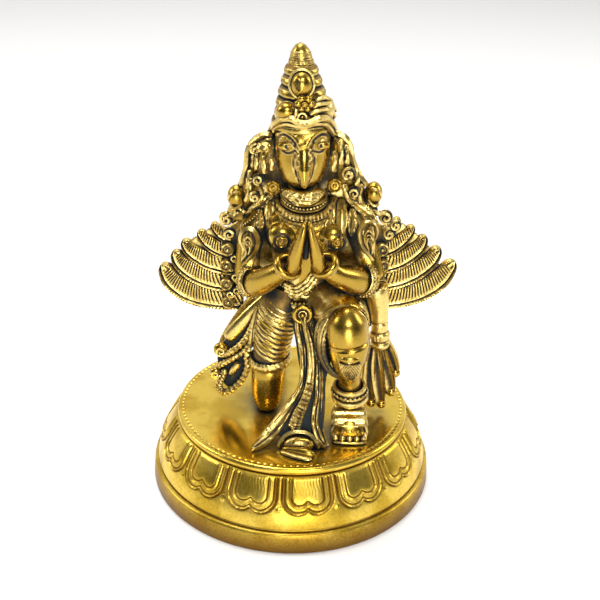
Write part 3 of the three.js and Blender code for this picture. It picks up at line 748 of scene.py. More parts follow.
def face(ground):
    """The eyes, each an almond with a ringed pupil under its upper lid. The skull carries the other lines."""
    forms = []
    for x, z, side in EYES:
        y = ground.front(x, z)
        pupil_x, pupil_z = x + 0.1 * side, z + 0.05
        forms.append(ball((x, y + 0.25, z), (2.25, 0.85, 1.15), tone=SKIN))
        # The pupil is a small ball painted dark as shade
        forms.append(ball((pupil_x, y - 0.46, pupil_z), (0.52, 0.2, 0.56), 2, tone=PAINTED_SHADE))
        way = (0.1 * side, -1, 0.05)
        forms.append(ring((pupil_x, y - 0.5, pupil_z), way, (0.62, 0.62), 0.12, around=18, sides=5))
        path = ground.laid([(x + side * out, z + up) for out, up in UPPER_LID], out=0.12)
        forms.append(cord(path, 0.3, spacing=0.3, ends=(0.15, 0.15), taper=[0.5, 1, 0.5],
                          gather=SMOOTH_GATHER))
    return forms


def strand(path, thick, steps, ridges=3):
    """A lock of hair with fine ridges along it."""
    rows = [(*place, thick, thick * 0.8) for place in path]

    def comb(t, angle):
        return 0.13 * thick * np.cos(2 * ridges * angle + 9 * t)

    return sweep(rows, across=VIEWER, sides=14, steps=steps, relief=comb, ends=(0.1, 0.1))


def banded(path, width, depth, strokes):
    """A flat band with a rim on both edges and strokes across it."""
    rows = [(*place, width, depth) for place in path]

    def carving(t, s):
        rim = np.exp(-((np.abs(s) - 0.86) / 0.12) ** 2)
        stroke = 0.5 - 0.5 * np.cos(2 * math.pi * strokes * t)
        return depth * (0.45 * rim + 0.4 * (stroke - 0.6) * (np.abs(s) < 0.7))

    return slab(rows, UP, cols=10, steps=120, edge=0.7, lift=carving, ends=(0.02, 0.02))


# The arch of hair over each ear
EAR_ARCHES = {
    -1: [(-8.4, 1.2, 76.6), (-10.2, 0.8, 76.9), (-12.1, 0.6, 76.4), (-13.8, 0.5, 75.0), (-14.8, 0.4, 72.8),
         (-15.0, 0.3, 70.4), (-15.2, 0.3, 68), (-15.8, 0.4, 65.6), (-16.9, 0.8, 63.2)],
    1: [(6.2, 1.2, 77.6), (7.8, 0.8, 77.5), (9.5, 0.6, 76.4), (10.6, 0.5, 74.4), (11.0, 0.4, 72),
        (11.7, 0.3, 69.8), (12.8, 0.3, 67.6), (14.2, 0.4, 65.6), (15.7, 0.8, 63.8)],
}
# Each lock in front of the ears and on the shoulders: its path and thickness
LOCKS = [
    ([(-11.9, -1.9, 74.6), (-10.6, -2.7, 75), (-9.2, -2.7, 74.6)], 1.35),
    ([(-8.9, -3.0, 73.2), (-8.8, -3.5, 71.4), (-8.6, -3.6, 69.2)], 0.75),
    ([(-10.6, -2.6, 73.0), (-10.7, -3.2, 70.6), (-10.4, -3.2, 68.2)], 0.8),
    ([(-12.3, -1.9, 73), (-12.5, -2.4, 71), (-12.5, -2.5, 69)], 0.7),
    ([(-14, -0.8, 68.6), (-14.4, -1.4, 65.6), (-14.4, -1.4, 62.6), (-15.6, -0.6, 59.6)], 0.9),
    ([(-11.8, -2.2, 65), (-11.2, -3, 62.6), (-12.6, -3, 59.6)], 0.8),
    ([(6.7, -3, 74.6), (6.6, -3.6, 72.4), (6.5, -3.7, 69.2)], 0.85),
    ([(7.7, -2.4, 77), (8.2, -3, 74.4), (8.2, -3.1, 70.6)], 0.75),
    ([(9.5, -1.4, 75.6), (9.6, -2.3, 73.2), (9.9, -2.4, 70.8)], 0.7),
    ([(11.8, -1, 69.6), (12.6, -1.8, 67), (12.4, -2, 65)], 0.8),
    ([(13.6, -0.8, 65.4), (13.2, -1.6, 62.4), (14.2, -1, 59.8)], 0.9),
    ([(9.4, -2.8, 66.2), (9.6, -3.2, 63.8), (11.6, -2.6, 60.6)], 0.8),
]
# The curls of the hair: the middle, radius and hand of each
HAIR_CURLS = [
    (-12.9, -1.8, 73.9, 1.5, 1), (-12.1, -3.2, 66.6, 1.5, -1), (-12.9, -3.2, 62, 1.6, 1),
    (-14.2, -1.6, 66, 1.2, -1), (-20.4, -0.4, 54.8, 1.9, 1), (-19.6, 0.8, 50.2, 1.7, -1),
    (-17, -1.2, 57.4, 1.5, -1), (10.1, -3.3, 68.6, 1.9, 1), (11.9, -2.8, 63.5, 1.6, -1),
    (20.4, -0.4, 56.2, 1.9, -1), (21.6, 0.6, 51.2, 1.8, 1), (23.2, 0.8, 53.4, 1.6, 1),
    (16.8, -1.2, 58.2, 1.5, 1),
]


def hair_and_ears():
    """On each side the arch over the ear, the curls in it, the earring, the shoulder knob and outer curls."""
    forms = []
    for side, path in EAR_ARCHES.items():
        forms.append(strand(path, 0.98, steps=50, ridges=2))
        inner = [(x - side * 1.45, y - 0.6, z - 0.7) for x, y, z in path[1:]]
        forms.append(cord(inner, 0.5, spacing=0.25, twist=0.5))
    for path, thick in LOCKS:
        forms.append(strand(path, thick, steps=16))
    for x, y, z, radius, hand in HAIR_CURLS:
        forms.extend(curl((x, y, z), radius, hand=hand, start=1.2 * hand))
    for x, z in ((-8.2, 65.3), (6.8, 66.2)):
        forms.append(disc((x, -5, z), 1.8, facing=(0.12 * np.sign(x), -1, 0.1), tone=SKIN))
    for x, z, hand in ((-17.8, 60.6, 1), (17, 62.2, -1)):
        forms.append(ball((x, 0.8, z), (2.3, 2.6, 3.1), tone=SKIN))
        under = [(x - 1.4 * hand, -1.4, z - 2), (x - 0.2 * hand, -2, z - 2.4), (x + 1.5 * hand, -1.2, z - 1)]
        over = [(x - 1.9 * hand, -0.6, z - 0.6), (x - hand, -1.6, z + 1.6), (x + 0.8 * hand, -1.3, z + 2)]
        forms.append(cord(under, 0.42, spacing=0.3))
        forms.append(cord(over, 0.4, spacing=0.3))
    for x, z, far in ((-15.4, 57.8, -20), (15.2, 59.2, 20.4)):
        path = [(x, -1.8, z), ((x + far) / 2, -1.6, z - 1.4), (far, -0.4, z - 2)]
        forms.append(cord(path, 0.7, spacing=0.3, twist=0.5))
    return forms


def back_hair():
    """Long locks down the back of the head, under the crown, and a hem of curls on the shoulders."""
    forms = []
    count = 13
    for k in range(count):
        s = 2 * k / (count - 1) - 1
        x = HEAD_X + 9.6 * s
        path = [
            (HEAD_X + 6.6 * s, 5.6 - 3.6 * s * s, 80), (x * 0.95, 6.6 - 3.4 * s * s, 74),
            (x, 6.4 - 2.6 * s * s, 67), (HEAD_X + 12 * s, 6.6 - 1.6 * s * s, 61.4),
        ]
        forms.append(sweep([(*p, 1.0, 1.0) for p in path], across=RIGHT, sides=12, steps=14,
                           relief=lambda t, angle: 0.1 * np.cos(6 * angle), ends=(0.06, 0.12), tone=CARVED))
        if k % 2 == 0:
            forms.extend(curl((HEAD_X + 12.4 * s, 7.2 - 1.5 * s * s, 60.4), 1.5, facing=(0, 1, 0)))
    return forms


# Jewellery and clothes of the upper body


def arc(ground, middle, width, low, rise, out):
    """A necklace's line round the front of the neck, laid on the chest."""
    phi = np.linspace(-1.45, 1.45, 17)
    places = [(middle + width * math.sin(a), low + rise * (1 - math.cos(a))) for a in phi]
    return ground.laid(places, out=out, otherwise=-3)


def between(start, end, shares):
    """Places of x and z on the straight line from one to another."""
    return [(start[0] + (end[0] - start[0]) * k, start[1] + (end[1] - start[1]) * k) for k in shares]


# A leaf's half widths, from its root to its point
LEAF = [0.45, 0.85, 1, 0.75, 0.15]


def leaf(ground, start, end, half):
    """A pointed leaf with a midrib and slanting veins, laid straight over the body's swell."""
    t = np.linspace(0, 1, len(LEAF))
    places = between(start, end, t)
    slope = np.polyfit(t, [ground.front(x, z, 0.3, -5) for x, z in places], 1)
    fronts = np.polyval(slope, t) - 0.3 * np.sin(math.pi * t)
    rows = [(x, y, z, half * share, 0.55) for (x, z), y, share in zip(places, fronts, LEAF)]
    way = np.array([end[1] - start[1], 0, start[0] - end[0]], float)

    def carving(t, s):
        rib = 0.3 * np.exp(-((s / 0.18) ** 2))
        vein = 0.14 * np.cos(2 * math.pi * (6 * t + 0.9 * np.abs(s)))
        rim = 0.2 * np.exp(-(((np.abs(s) - 0.86) / 0.13) ** 2))
        return rib + rim + vein * (np.abs(s) > 0.2)

    return slab(rows, across=-way, cols=10, steps=24, edge=0.35, lift=carving, ends=(0.04, 0.05),
                tone=CARVED + 0.1)


# The leaves that hang on the chest: where each starts and ends, and its half width
LEAVES = [
    ((-8.2, 61.8), (-16.4, 55), 1.5), ((-9, 61.2), (-9.4, 55), 1.45), ((-11.8, 58), (-11.4, 52.8), 1.25),
    ((6.6, 61.4), (5.2, 50), 1.35), ((8.9, 61), (8.9, 53), 1.6), ((9.2, 62.4), (18, 56.4), 1.5),
    ((11.8, 58.8), (11.6, 52.2), 1.45),
]


def collar(ground):
    """Necklaces of beads and hatched bands, the leaves that hang from them, and the breast ornaments."""

    def crumpled(t, s):
        return 0.3 * np.cos(31 * t + 4 * s) * np.cos(6 * s - 9 * t)

    forms = [
        slab([
            (-6.2, -4.4, 64.8, 0.4, 0.8), (-4.4, -6.4, 64.3, 1.2, 0.9), (-0.9, -7.8, 63.5, 1.9, 1),
            (2.4, -7, 64.4, 1.4, 0.9), (4.2, -4.8, 65.2, 0.5, 0.8),
        ], across=UP, cols=16, steps=50, lift=crumpled, tone=CARVED + 0.2),
    ]
    upper = arc(ground, -0.4, 6.3, 60.6, 3, 0.5)
    forms += beads(even_places(upper, 0.85), 0.44)
    for shift, thick in ((0.75, 0.28), (-0.75, 0.28)):
        forms.append(cord([(x, y + 0.1, z + shift) for x, y, z in upper], thick, spacing=0.4))
    band = arc(ground, -0.5, 7.8, 57.9, 4, 0.1)
    forms.append(banded(band, 1.05, 0.9, strokes=24))
    lower = arc(ground, -0.5, 8.6, 56.1, 5.2, 0.1)
    forms.append(cord(lower, 0.42, spacing=0.2, twist=0.7))
    forms += beads(even_places([(x, y - 0.1, z - 0.85) for x, y, z in lower], 0.8), 0.36)
    for start, end, half in LEAVES:
        forms.append(leaf(ground, start, end, half))
    for start, end in (((-9, 60.2), (-15.8, 54)), ((9.8, 60.4), (17.2, 55.4))):
        line = between(start, end, np.linspace(0, 1, 8))
        forms += beads(even_places(ground.laid(line, 0.35), 0.75), 0.36)
    for x, z in ((-5.9, 52.2), (7.9, 52.2)):
        y = ground.front(x, z)
        forms.append(disc((x, y, z), 1.5, thick=0.7, tone=SKIN))
        # A ring painted dark as shade round each breast ornament
        forms.append(ring((x, y + 0.3, z), VIEWER, (2.0, 2.0), 0.34, around=26, tone=-1.0))
    return forms


def armlet(side, shift, lift):
    """The curled ornament on the upper arm: a pad with a rim that loops over it and nested cords."""

    def put(x, y, z):
        return (side * (x + shift), y, z + lift)

    def wavy(t, s):
        return 0.3 * np.cos(9 * s + 5 * np.sin(7 * t)) * (1 - s * s)

    forms = [
        slab([
            (*put(14.3, -4.3, 54), 1.5, 0.8), (*put(14.1, -5, 51), 2.1, 1), (*put(14.7, -5, 47.6), 1.6, 0.9),
            (*put(16, -4.6, 44.4), 0.5, 0.6),
        ], cols=12, steps=24, lift=wavy),
        cord([
            put(15.4, -5.7, 48.6), put(16.5, -5.2, 51.4), put(15.5, -5.2, 54), put(13.5, -5.4, 54.2),
            put(12.1, -5.9, 51.6), put(12.9, -6.1, 48.2), put(14.6, -5.9, 45.8), put(16.1, -5.3, 43.8),
        ], 0.66, spacing=0.3, taper=[0.6, 1, 1, 0.5], gather=SMOOTH_GATHER),
    ]
    for k in range(3):
        d = 0.75 * k
        forms.append(cord([put(15.3 - 0.2 * k, -6, 51.6 - d), put(14.3, -6.4, 52.4 - 1.3 * d),
                           put(13.5 + 0.2 * k, -6.4, 50.8 - d), put(14 + 0.2 * k, -6.2, 48.2 - 0.4 * d)],
                          0.3, sides=6, spacing=0.3))
    return forms


def bracelets(arm):
    """A thick ring at the wrist, a fine one beside it, and a beaded band below the elbow."""
    side = arm["side"]
    way = np.array([-0.52 * side, -0.45, 0.72])
    middle, elbow, place = (np.array(arm[key], float) for key in ("middle", "elbow", "ring"))
    lower = middle - elbow
    forms = [
        ring(place, way, (3.0, 2.8), (0.9, 1.05), around=56, sides=12, tone=SKIN),
        ring(place - 1.25 * way, way, (3.0, 2.8), (0.35, 0.4), around=64, relief=roped(0.09, 22)),
    ]
    bangle = elbow + 0.42 * lower
    forms.append(ring(bangle, lower, (3.8, 3.8), (0.5, 1.2), around=56, sides=8))
    for shift in (-0.62, 0.62):
        forms += beads(round_places(bangle, unit(lower), 4.2, 26, shift), 0.42)
    if side < 0:
        for k in range(3):
            path = [(-5.2 + 0.1 * k, -12.2, 42.8 - 0.9 * k), (-2.8 + 0.3 * k, -12.9, 41.9 - 0.9 * k),
                    (-0.1 + 0.5 * k, -13.1, 43.6 - 0.9 * k), (1.9 + 0.5 * k, -12.8, 46.4 - 0.8 * k)]
            forms.append(cord(path, 0.62, sides=8, spacing=0.3, twist=0.7 if k % 2 else 0.4))
    return forms


def belt(ground):
    """Rows of beads and rope at the waist, and the ringed boss in front."""
    forms = [
        ring((0, 0.7, 35.2), (0, 0.08, 1), (8.8, 6.6), (0.5, 0.6), around=90, relief=roped(0.12, 60, 2)),
        ring((0, 0.8, 32.4), (0, 0.1, 1), (9.3, 6.9), (0.6, 0.9), around=60),
    ]
    forms += beads([(9.25 * math.sin(a), 0.7 - 7.05 * math.cos(a), 33.9) for a in round_angles(56)], 0.5)
    boss, facing = (-0.3, -9.4, 32.4), (0, -1, 0.12)
    # The plate behind the boss is painted dark as shade
    forms.append(turned([(0, 0.1), (1.9, 0.1), (2.6, -0.6), (0, -0.6)], boss, facing, sides=24, tone=-0.9))
    forms.append(ring(boss, facing, (2.1, 2.1), (0.62, 0.7), around=44, sides=10, tone=SKIN))
    forms.append(ring((-0.3, -9.5, 32.4), facing, (0.95, 0.95), 0.24, around=26))
    forms.append(ball((-0.3, -9.9, 32.4), 0.6, 2, SKIN))
    for low, rise in ((38.4, 2.6), (37.1, 2.2)):
        row = [(7.6 * math.sin(a), low + rise * (1 - math.cos(a))) for a in np.linspace(-1.3, 1.3, 13)]
        forms += beads(even_places(ground.laid(row, out=0.1), 0.78), 0.36)
    return forms


# The wings: each feather of one wing, from the lowest up, by its way out, height and half width
FEATHERS = [
    [(16.2, 29.3, 2.6), (25, 29.6, 3), (31, 31.2, 3.1), (35.6, 34.8, 2.8), (37.8, 39.6, 1.6)],
    [(16.2, 34.2, 2.4), (24.5, 35, 2.7), (29.4, 37, 2.7), (33, 40, 2.3), (34.6, 43.4, 1.3)],
    [(16.2, 38.8, 2.4), (24, 40, 2.5), (28, 41.9, 2.4), (30.8, 44.2, 1.9), (32, 46.6, 1.0)],
    [(16.2, 42.8, 2.2), (22.6, 44.2, 2.2), (25.9, 46.4, 1.8), (28, 49.2, 0.9)],
    [(16.2, 46.6, 2), (21.6, 48.2, 1.8), (24.6, 51.2, 0.8)],
]
WINGS = [
    {"side": -1, "root_lift": 0, "tip_lift": 0, "tip_shift": (0, 0, 0, 0, 0)},
    {"side": 1, "root_lift": 0.9, "tip_lift": 2.6, "tip_shift": (2, 0.9, -0.6, 0.4, 0)},
]
BARB_SPACING = 0.9


def feather(rows):
    """A feather of the left wing: cut barbs on its upper part, then a shaft, a groove and a corded rim."""
    line = np.array([row[:3] for row in rows])
    span = np.linalg.norm(np.diff(line, axis=0), axis=1).sum()
    barbs = span / BARB_SPACING

    def cut_at(t, s):
        return np.exp(-((((barbs * t - 1.3 * (s + 0.2)) % 1 - 0.5) / 0.2) ** 2))

    # Shade painted into the barb cuts and along the groove
    def wear_and_shade(t, s):
        return 0.94 - 1.3 * cut_at(t, -s) * (s < 0.3) - 0.9 * np.exp(-(((s - 0.6) / 0.14) ** 2))

    def carving(t, s):
        s = -s
        rim = 0.55 * np.exp(-(((s + 0.84) / 0.13) ** 4))
        rim = rim * (1 + 0.22 * np.cos(2 * math.pi * barbs * 1.3 * t + 3 * s))
        groove = -0.5 * np.exp(-(((s + 0.6) / 0.1) ** 2))
        shaft = 0.5 * np.exp(-(((s + 0.38) / 0.14) ** 2))
        field = np.clip((s + 0.25) * 6, 0, 1) * np.clip((1 - s) * 5, 0.2, 1)
        return rim + groove + shaft + field * (0.36 - 0.46 * cut_at(t, s))

    return slab(rows, across=(0, 0, -1), cols=14, steps=int(barbs * 4), edge=0.55, lift=carving,
                ends=(0.02, 0.09), tone=wear_and_shade)


# How far along two feathers the web between them reaches
WEB_REACH = (0.8, 0.85, 0.9, 0.9)


def wing(side, root_lift, tip_lift, tip_shift):
    """The feathers, the webs between them painted dark as shade, and the discs and curls where they grow."""
    forms = []
    root = FEATHERS[0][0][0]
    for i, line in enumerate(FEATHERS):
        rows = []
        for k, (out, z, half) in enumerate(line):
            t = k / (len(line) - 1)
            lift = root_lift + (tip_lift - root_lift) * t
            y = 4.4 + 0.25 * i + 0.04 * (out - root)
            rows.append(((out + tip_shift[i] * t * t) * side, y, z + lift, half * 1.04, 1.1))
        forms.append(feather(rows) if side < 0 else mirrored_feather(rows))
    for low, high, shift, far in zip(FEATHERS, FEATHERS[1:], tip_shift, WEB_REACH):
        web = []
        for t in (0, 0.35, 0.7, 1):
            a, b = (along(line, np.array([t * far]))[0] for line in (low, high))
            out = (a[0] + b[0]) / 2 + shift * t * t * 0.6
            lift = root_lift + (tip_lift - root_lift) * t
            web.append((out * side, 5.4, (a[1] + b[1]) / 2 + lift, 2.4 - 0.8 * t, 0.6))
        # A web between two feathers, painted dark as shade
        forms.append(slab(web, across=(0, 0, -side), cols=4, steps=12, tone=painted_shade_web, ends=(0.05, 0.2)))
    for out, z in ((20.2, 29.8), (20.6, 35.2), (20.6, 40.6), (20.2, 45.2)):
        forms.append(disc((out * side, 2.0, z + root_lift), 1.75, facing=(0.1 * side, -1, 0.05), thick=1.0))
    for out, z in ((19.6, 32.4), (18.2, 37.6), (18.4, 43), (17.8, 33.6)):
        forms.extend(curl((out * side, 1.6, z + root_lift), 1.35, hand=side))
    return forms


def mirrored_feather(rows):
    """The same feather on the other side, mirrored so that its front still faces the viewer."""
    points, faces, tone = feather([(-x, y, z, half, deep) for x, y, z, half, deep in rows])
    return points * np.array([-1, 1, 1]), faces, tone


def back_plumage():
    """Rows of small round feathers down the back of the wings."""

    def carving(t, s):
        return 0.22 * np.exp(-((s / 0.2) ** 2)) + 0.08 * np.cos(14 * t + 4 * abs(s))

    forms = []
    for row in range(5):
        count = 9 + row % 2
        for k in range(count):
            x = (k - (count - 1) / 2) * 4.3
            if abs(x) > 19:
                continue
            y = 7.3 - 0.004 * x * x - 0.1 * abs(row - 2)
            z = 53 - 4.6 * row - 0.006 * x * x
            rows = [(x, y - 0.7, z + 2, 1.6, 0.6), (x, y, z, 2.2, 0.7), (x, y + 0.2, z - 2.8, 1.6, 0.6)]
            forms.append(slab(rows, across=LEFT, cols=6, steps=10, lift=carving, ends=(0.05, 0.3)))
    return forms


# The legs and the cloth on them


def kneeling_leg():
    """Pleated cloth on the thigh, its beaded band, and the polished knee below."""
    pleats = 9

    def folds(t, angle):
        place = (t - 0.32 - 0.055 * np.sin(angle) - 0.05 * np.cos(angle)) / 0.53 * pleats
        wave = 1 - np.abs(2 * (place % 1) - 1) ** 3
        return 0.2 + (0.44 * wave - 0.24) * np.clip(place, 0, 1) * np.clip((pleats - place) * 2, 0, 1)

    # Random mottling, with shade painted in the troughs of the pleats
    def mottled_and_shaded(t, angle):
        wear_and_shade = 0.5 * np.cos(2.6 * angle + 9 * t) * np.cos(17 * t - 2 * angle)
        return CARVED + 0.25 + wear_and_shade - 1.4 * (folds(t, angle) < 0.24)

    return [
        sweep([
            (-4.4, 0, 35, 5.3, 5.3), (-6.4, -2, 30, 5.6, 5.4), (-8, -3.2, 22.6, 4.9, 5.1),
            (-8.9, -3.8, 14.6, 4.3, 4.6),
        ], sides=36, steps=100, relief=folds, ends=(0.04, 0.04), gather=0.4, tone=mottled_and_shaded),
        ring((-8.7, -3.8, 16), (0.1, 0.1, -1), (5.0, 5.2), (0.75, 1.35), around=96, sides=9,
             relief=roped(0.13, 24, 2)),
        sweep([
            (-8.9, -3.8, 15, 4.7), (-9.2, -3.8, 9.8, 4.6), (-9.4, -3.9, 5, 4.3), (-9.5, -4, 1.5, 3.3),
            (-9.5, -4, -0.6, 1.4),
        ], sides=32, steps=30, ends=(0.05, 0.05), tone=SKIN),
    ]


# The hem of the cloth round the standing knee: each ring's place, half sizes, thickness and knots
HEM_RINGS = [
    (10.6, -14.8, (5.4, 8.4), 0.6, 40), (10.3, -13.8, (5.9, 9), 1.0, 0), (10.1, -13.6, (6.2, 9.2), 0.6, 44),
    (9.9, -12.4, (6.6, 9.5), 0.7, 0),
]


def standing_leg():
    """The polished knee, the bands and hem of the cloth round it, and the cap and stippled patch below."""

    def crease(t, angle):
        return -0.75 * np.exp(-(((t - 0.6) / 0.02) ** 2)) * np.clip(1.6 * np.cos(angle), 0, 1)

    forms = [
        sweep([
            (10.9, -12, 35.8, 1.8), (10.9, -13, 34.8, 3.6), (11, -14, 32.6, 4.9), (11.3, -14.5, 29.4, 5.3),
            (11.9, -14.8, 26, 4.95), (12.1, -14.8, 22.4, 4.1), (12.3, -14.4, 19.6, 2.8),
        ], sides=40, steps=72, relief=crease, ends=(0.06, 0.12), gather=0.3, tone=SKIN),
        ball((11.8, -18.9, 24.9), (2.5, 1.3, 1.25), tone=SKIN),
        ring((11.8, -20.1, 24.9), VIEWER, (0.55, 0.55), 0.16, around=16, sides=5),
    ]
    way = np.array([0.1, -1, -0.1])
    middle = np.array([10.6, -11.6, 30])
    for k, (half, thick) in enumerate(((5.6, 0.5), (6.0, 0.4), (6.25, 0.5), (6.4, 0.42))):
        at = middle - way * (1.15 * k)
        forms.append(ring(at, way, (half, half), thick, around=60, relief=roped(0.1, 34) if k % 2 else None))
    forms += beads(round_places(middle - way * 0.6, unit(way), 6.3, 32), 0.36)

    def stipple(t, s):
        return 0.16 * np.cos(26 * s) * np.cos(34 * t) + 0.2 * np.exp(-(((np.abs(s) - 0.88) / 0.1) ** 2))

    patch = [(12, -19.3, 24, 2.9, 0.6), (12, -18.9, 22.2, 2.7, 0.6), (12.2, -18.2, 20.2, 1.9, 0.6),
             (12.4, -17.2, 18.2, 0.7, 0.6)]
    forms.append(slab(patch, cols=16, steps=30, edge=0.5, lift=stipple, ends=(0.03, 0.05)))
    for x, y, half, thick, knots in HEM_RINGS:
        points, faces, tone = ring((x, y, 26.8), (0, -1, 0.2), half, thick, around=84, sides=8,
                                   relief=roped(0.13, knots, 2) if knots else None)
        # The hem is painted darker towards its lower edge, as shade
        forms.append((points, faces, np.interp(points[:, 2], [23, 31], [-0.8, tone])))
    return forms


# The anklets: each one's height, half width, thickness and knots
ANKLETS = [(13.4, 3.9, (0.6, 0.8), 0), (11.9, 4.0, (0.45, 0.5), 26), (10.4, 4.2, (0.7, 0.8), 0)]
# The straps over the foot: each one's place, half width and height, and thickness
STRAPS = [(-14.2, 4.6, 4.3, 4.5, 0.6), (-16.6, 3.6, 4.5, 4, 0.55), (-18.4, 2.6, 4.5, 3.1, 0.5)]


def standing_foot():
    """The anklets with their beads, the straps, the ridged plate over the foot, the toes and the sole."""

    def ridges(t, s):
        return 0.25 * np.cos(2 * math.pi * 3 * t) + 0.1 * np.cos(22 * s) * (t > 0.62)

    forms = []
    for z, half, thick, knots in ANKLETS:
        low = 14 - z
        forms.append(ring((12.4 + 0.08 * low, -13.3 + 0.02 * low, z), (0, -0.1, 1), (half, half), thick,
                          around=48, relief=roped(0.09, knots) if knots else None))
    places = [(12.5 + 4.7 * math.cos(a), -13.3 + 4.7 * math.sin(a), 12.3) for a in round_angles(24)]
    forms += beads(places, 0.42)
    for y, z, half, tall, thick in STRAPS:
        forms.append(ring((12.7, y, z), (0, -1, 0.25), (half, tall), (thick, 0.7), around=56,
                          relief=roped(0.07, 24)))
    plate = [(12.6, -14.2, 8.0, 3.9, 0.7), (12.7, -17.0, 6.6, 4.3, 0.7), (12.7, -19.3, 4.4, 4.4, 0.7)]
    forms.append(slab(plate, cols=12, steps=20, edge=0.75, lift=ridges, ends=(0.1, 0.1), tone=0.7))
    for x in np.linspace(9.4, 16, 6):
        forms.append(ball((x, -20.1, 3.9 - 0.05 * (x - 12.7) ** 2), 0.52, 2, SKIN))
    for k, x in enumerate(np.linspace(9, 16.4, 5)):
        reach = -20.6 - 0.4 * math.sin(math.pi * k / 4)
        forms.append(sweep([(x, -18.4, 2.4, 0.85, 1), (x, -19.8, 1.8, 0.9, 1.1), (x, reach, 1.1, 0.8, 0.9)],
                           sides=12, steps=14, ends=(0.1, 0.3), tone=0.7))
    forms.append(slab([(12.6, -9, 0.55, 4, 0.5), (12.7, -15, 0.55, 4.7, 0.5), (12.6, -21, 0.5, 4.6, 0.5)],
                      cols=8, steps=20, ends=(0.12, 0.1)))
    return forms


def kneeling_foot():
    """The anklet and toes of the foot that lies behind."""
    forms = [
        ring((-8.7, 18, 3.8), (0, 1, 0.05), (3, 3), (0.5, 0.7), around=40),
        ring((-8.7, 19.4, 3.9), (0, 1, 0.05), (3, 3), (0.4, 0.5), around=50, relief=roped(0.1, 22)),
    ]
    for x in np.linspace(-10.9, -6.5, 5):
        forms.append(sweep([(x, 25, 1.8, 0.5, 0.6), (x, 26, 1, 0.55, 0.6), (x, 26.4, 0.5, 0.45, 0.45)],
                           sides=10, steps=9, ends=(0.1, 0.3), tone=SKIN))
    return forms


# The bands of the strip: the middle and half width of each from the belt to the plate
STRIP = [
    [(-1.3, -8.2, 31.8, 0.8), (-1.3, -9.8, 29, 0.9), (-0.2, -12, 24.4, 1.0), (0.2, -14, 19, 0.85),
     (-0.4, -15.7, 14, 0.95), (-2.7, -17.3, 10.2, 1.3), (-5.9, -18.7, 5.4, 1.6), (-8.8, -21, 2.2, 1.7),
     (-12.8, -24.8, 0.4, 0.4)],
    [(0.2, -8.8, 31.8, 0.8), (0.6, -10.6, 28.8, 0.8), (1.8, -12.8, 24.7, 0.9), (2.2, -14.8, 19.3, 1.0),
     (1.8, -16.7, 15.2, 1.1), (0.6, -18.2, 11.2, 1.25), (-0.9, -19.4, 8, 1.5), (-2.0, -20.4, 4.4, 1.7)],
    [(1.4, -9, 31.4, 0.6), (2.6, -11, 27, 0.6), (3.7, -13.2, 22, 0.7), (4.0, -15.2, 17.5, 0.75),
     (4.0, -17, 12.4, 0.8), (3.5, -18.4, 9, 0.9), (3.5, -19.6, 5.3, 1.0), (4.9, -21.4, 1.6, 1.1),
     (6.4, -23, 0.4, 0.4)],
]
# The cords beside the bands: the path, thickness and twist of each
STRIP_CORDS = [
    ([(-0.8, -9.4, 31.6), (1.0, -11.4, 28.2), (2.4, -12.4, 25), (2.0, -13.8, 22.2)], 0.5, 0),
    ([(0.8, -9.6, 31.4), (2.6, -11.4, 27.6), (4.2, -12.4, 25.2), (4.8, -14, 20)], 0.4, 0),
    ([(4.8, -14, 20), (5.0, -15.6, 14.7), (5.0, -17.2, 8.8), (5.2, -18.2, 5.3), (6.2, -19.6, 1.6),
      (7, -22, 0.5)], 0.4, 0.5),
]
# The arch that the bands part over
ARCH = [
    (-5.8, -22.8, 0.3), (-5.2, -22.4, 1.8), (-3.8, -21.8, 3.5), (-0.8, -21.6, 4.4), (2.0, -21.7, 3.7),
    (3.8, -22.2, 1.9), (4.8, -23, 0.4),
]


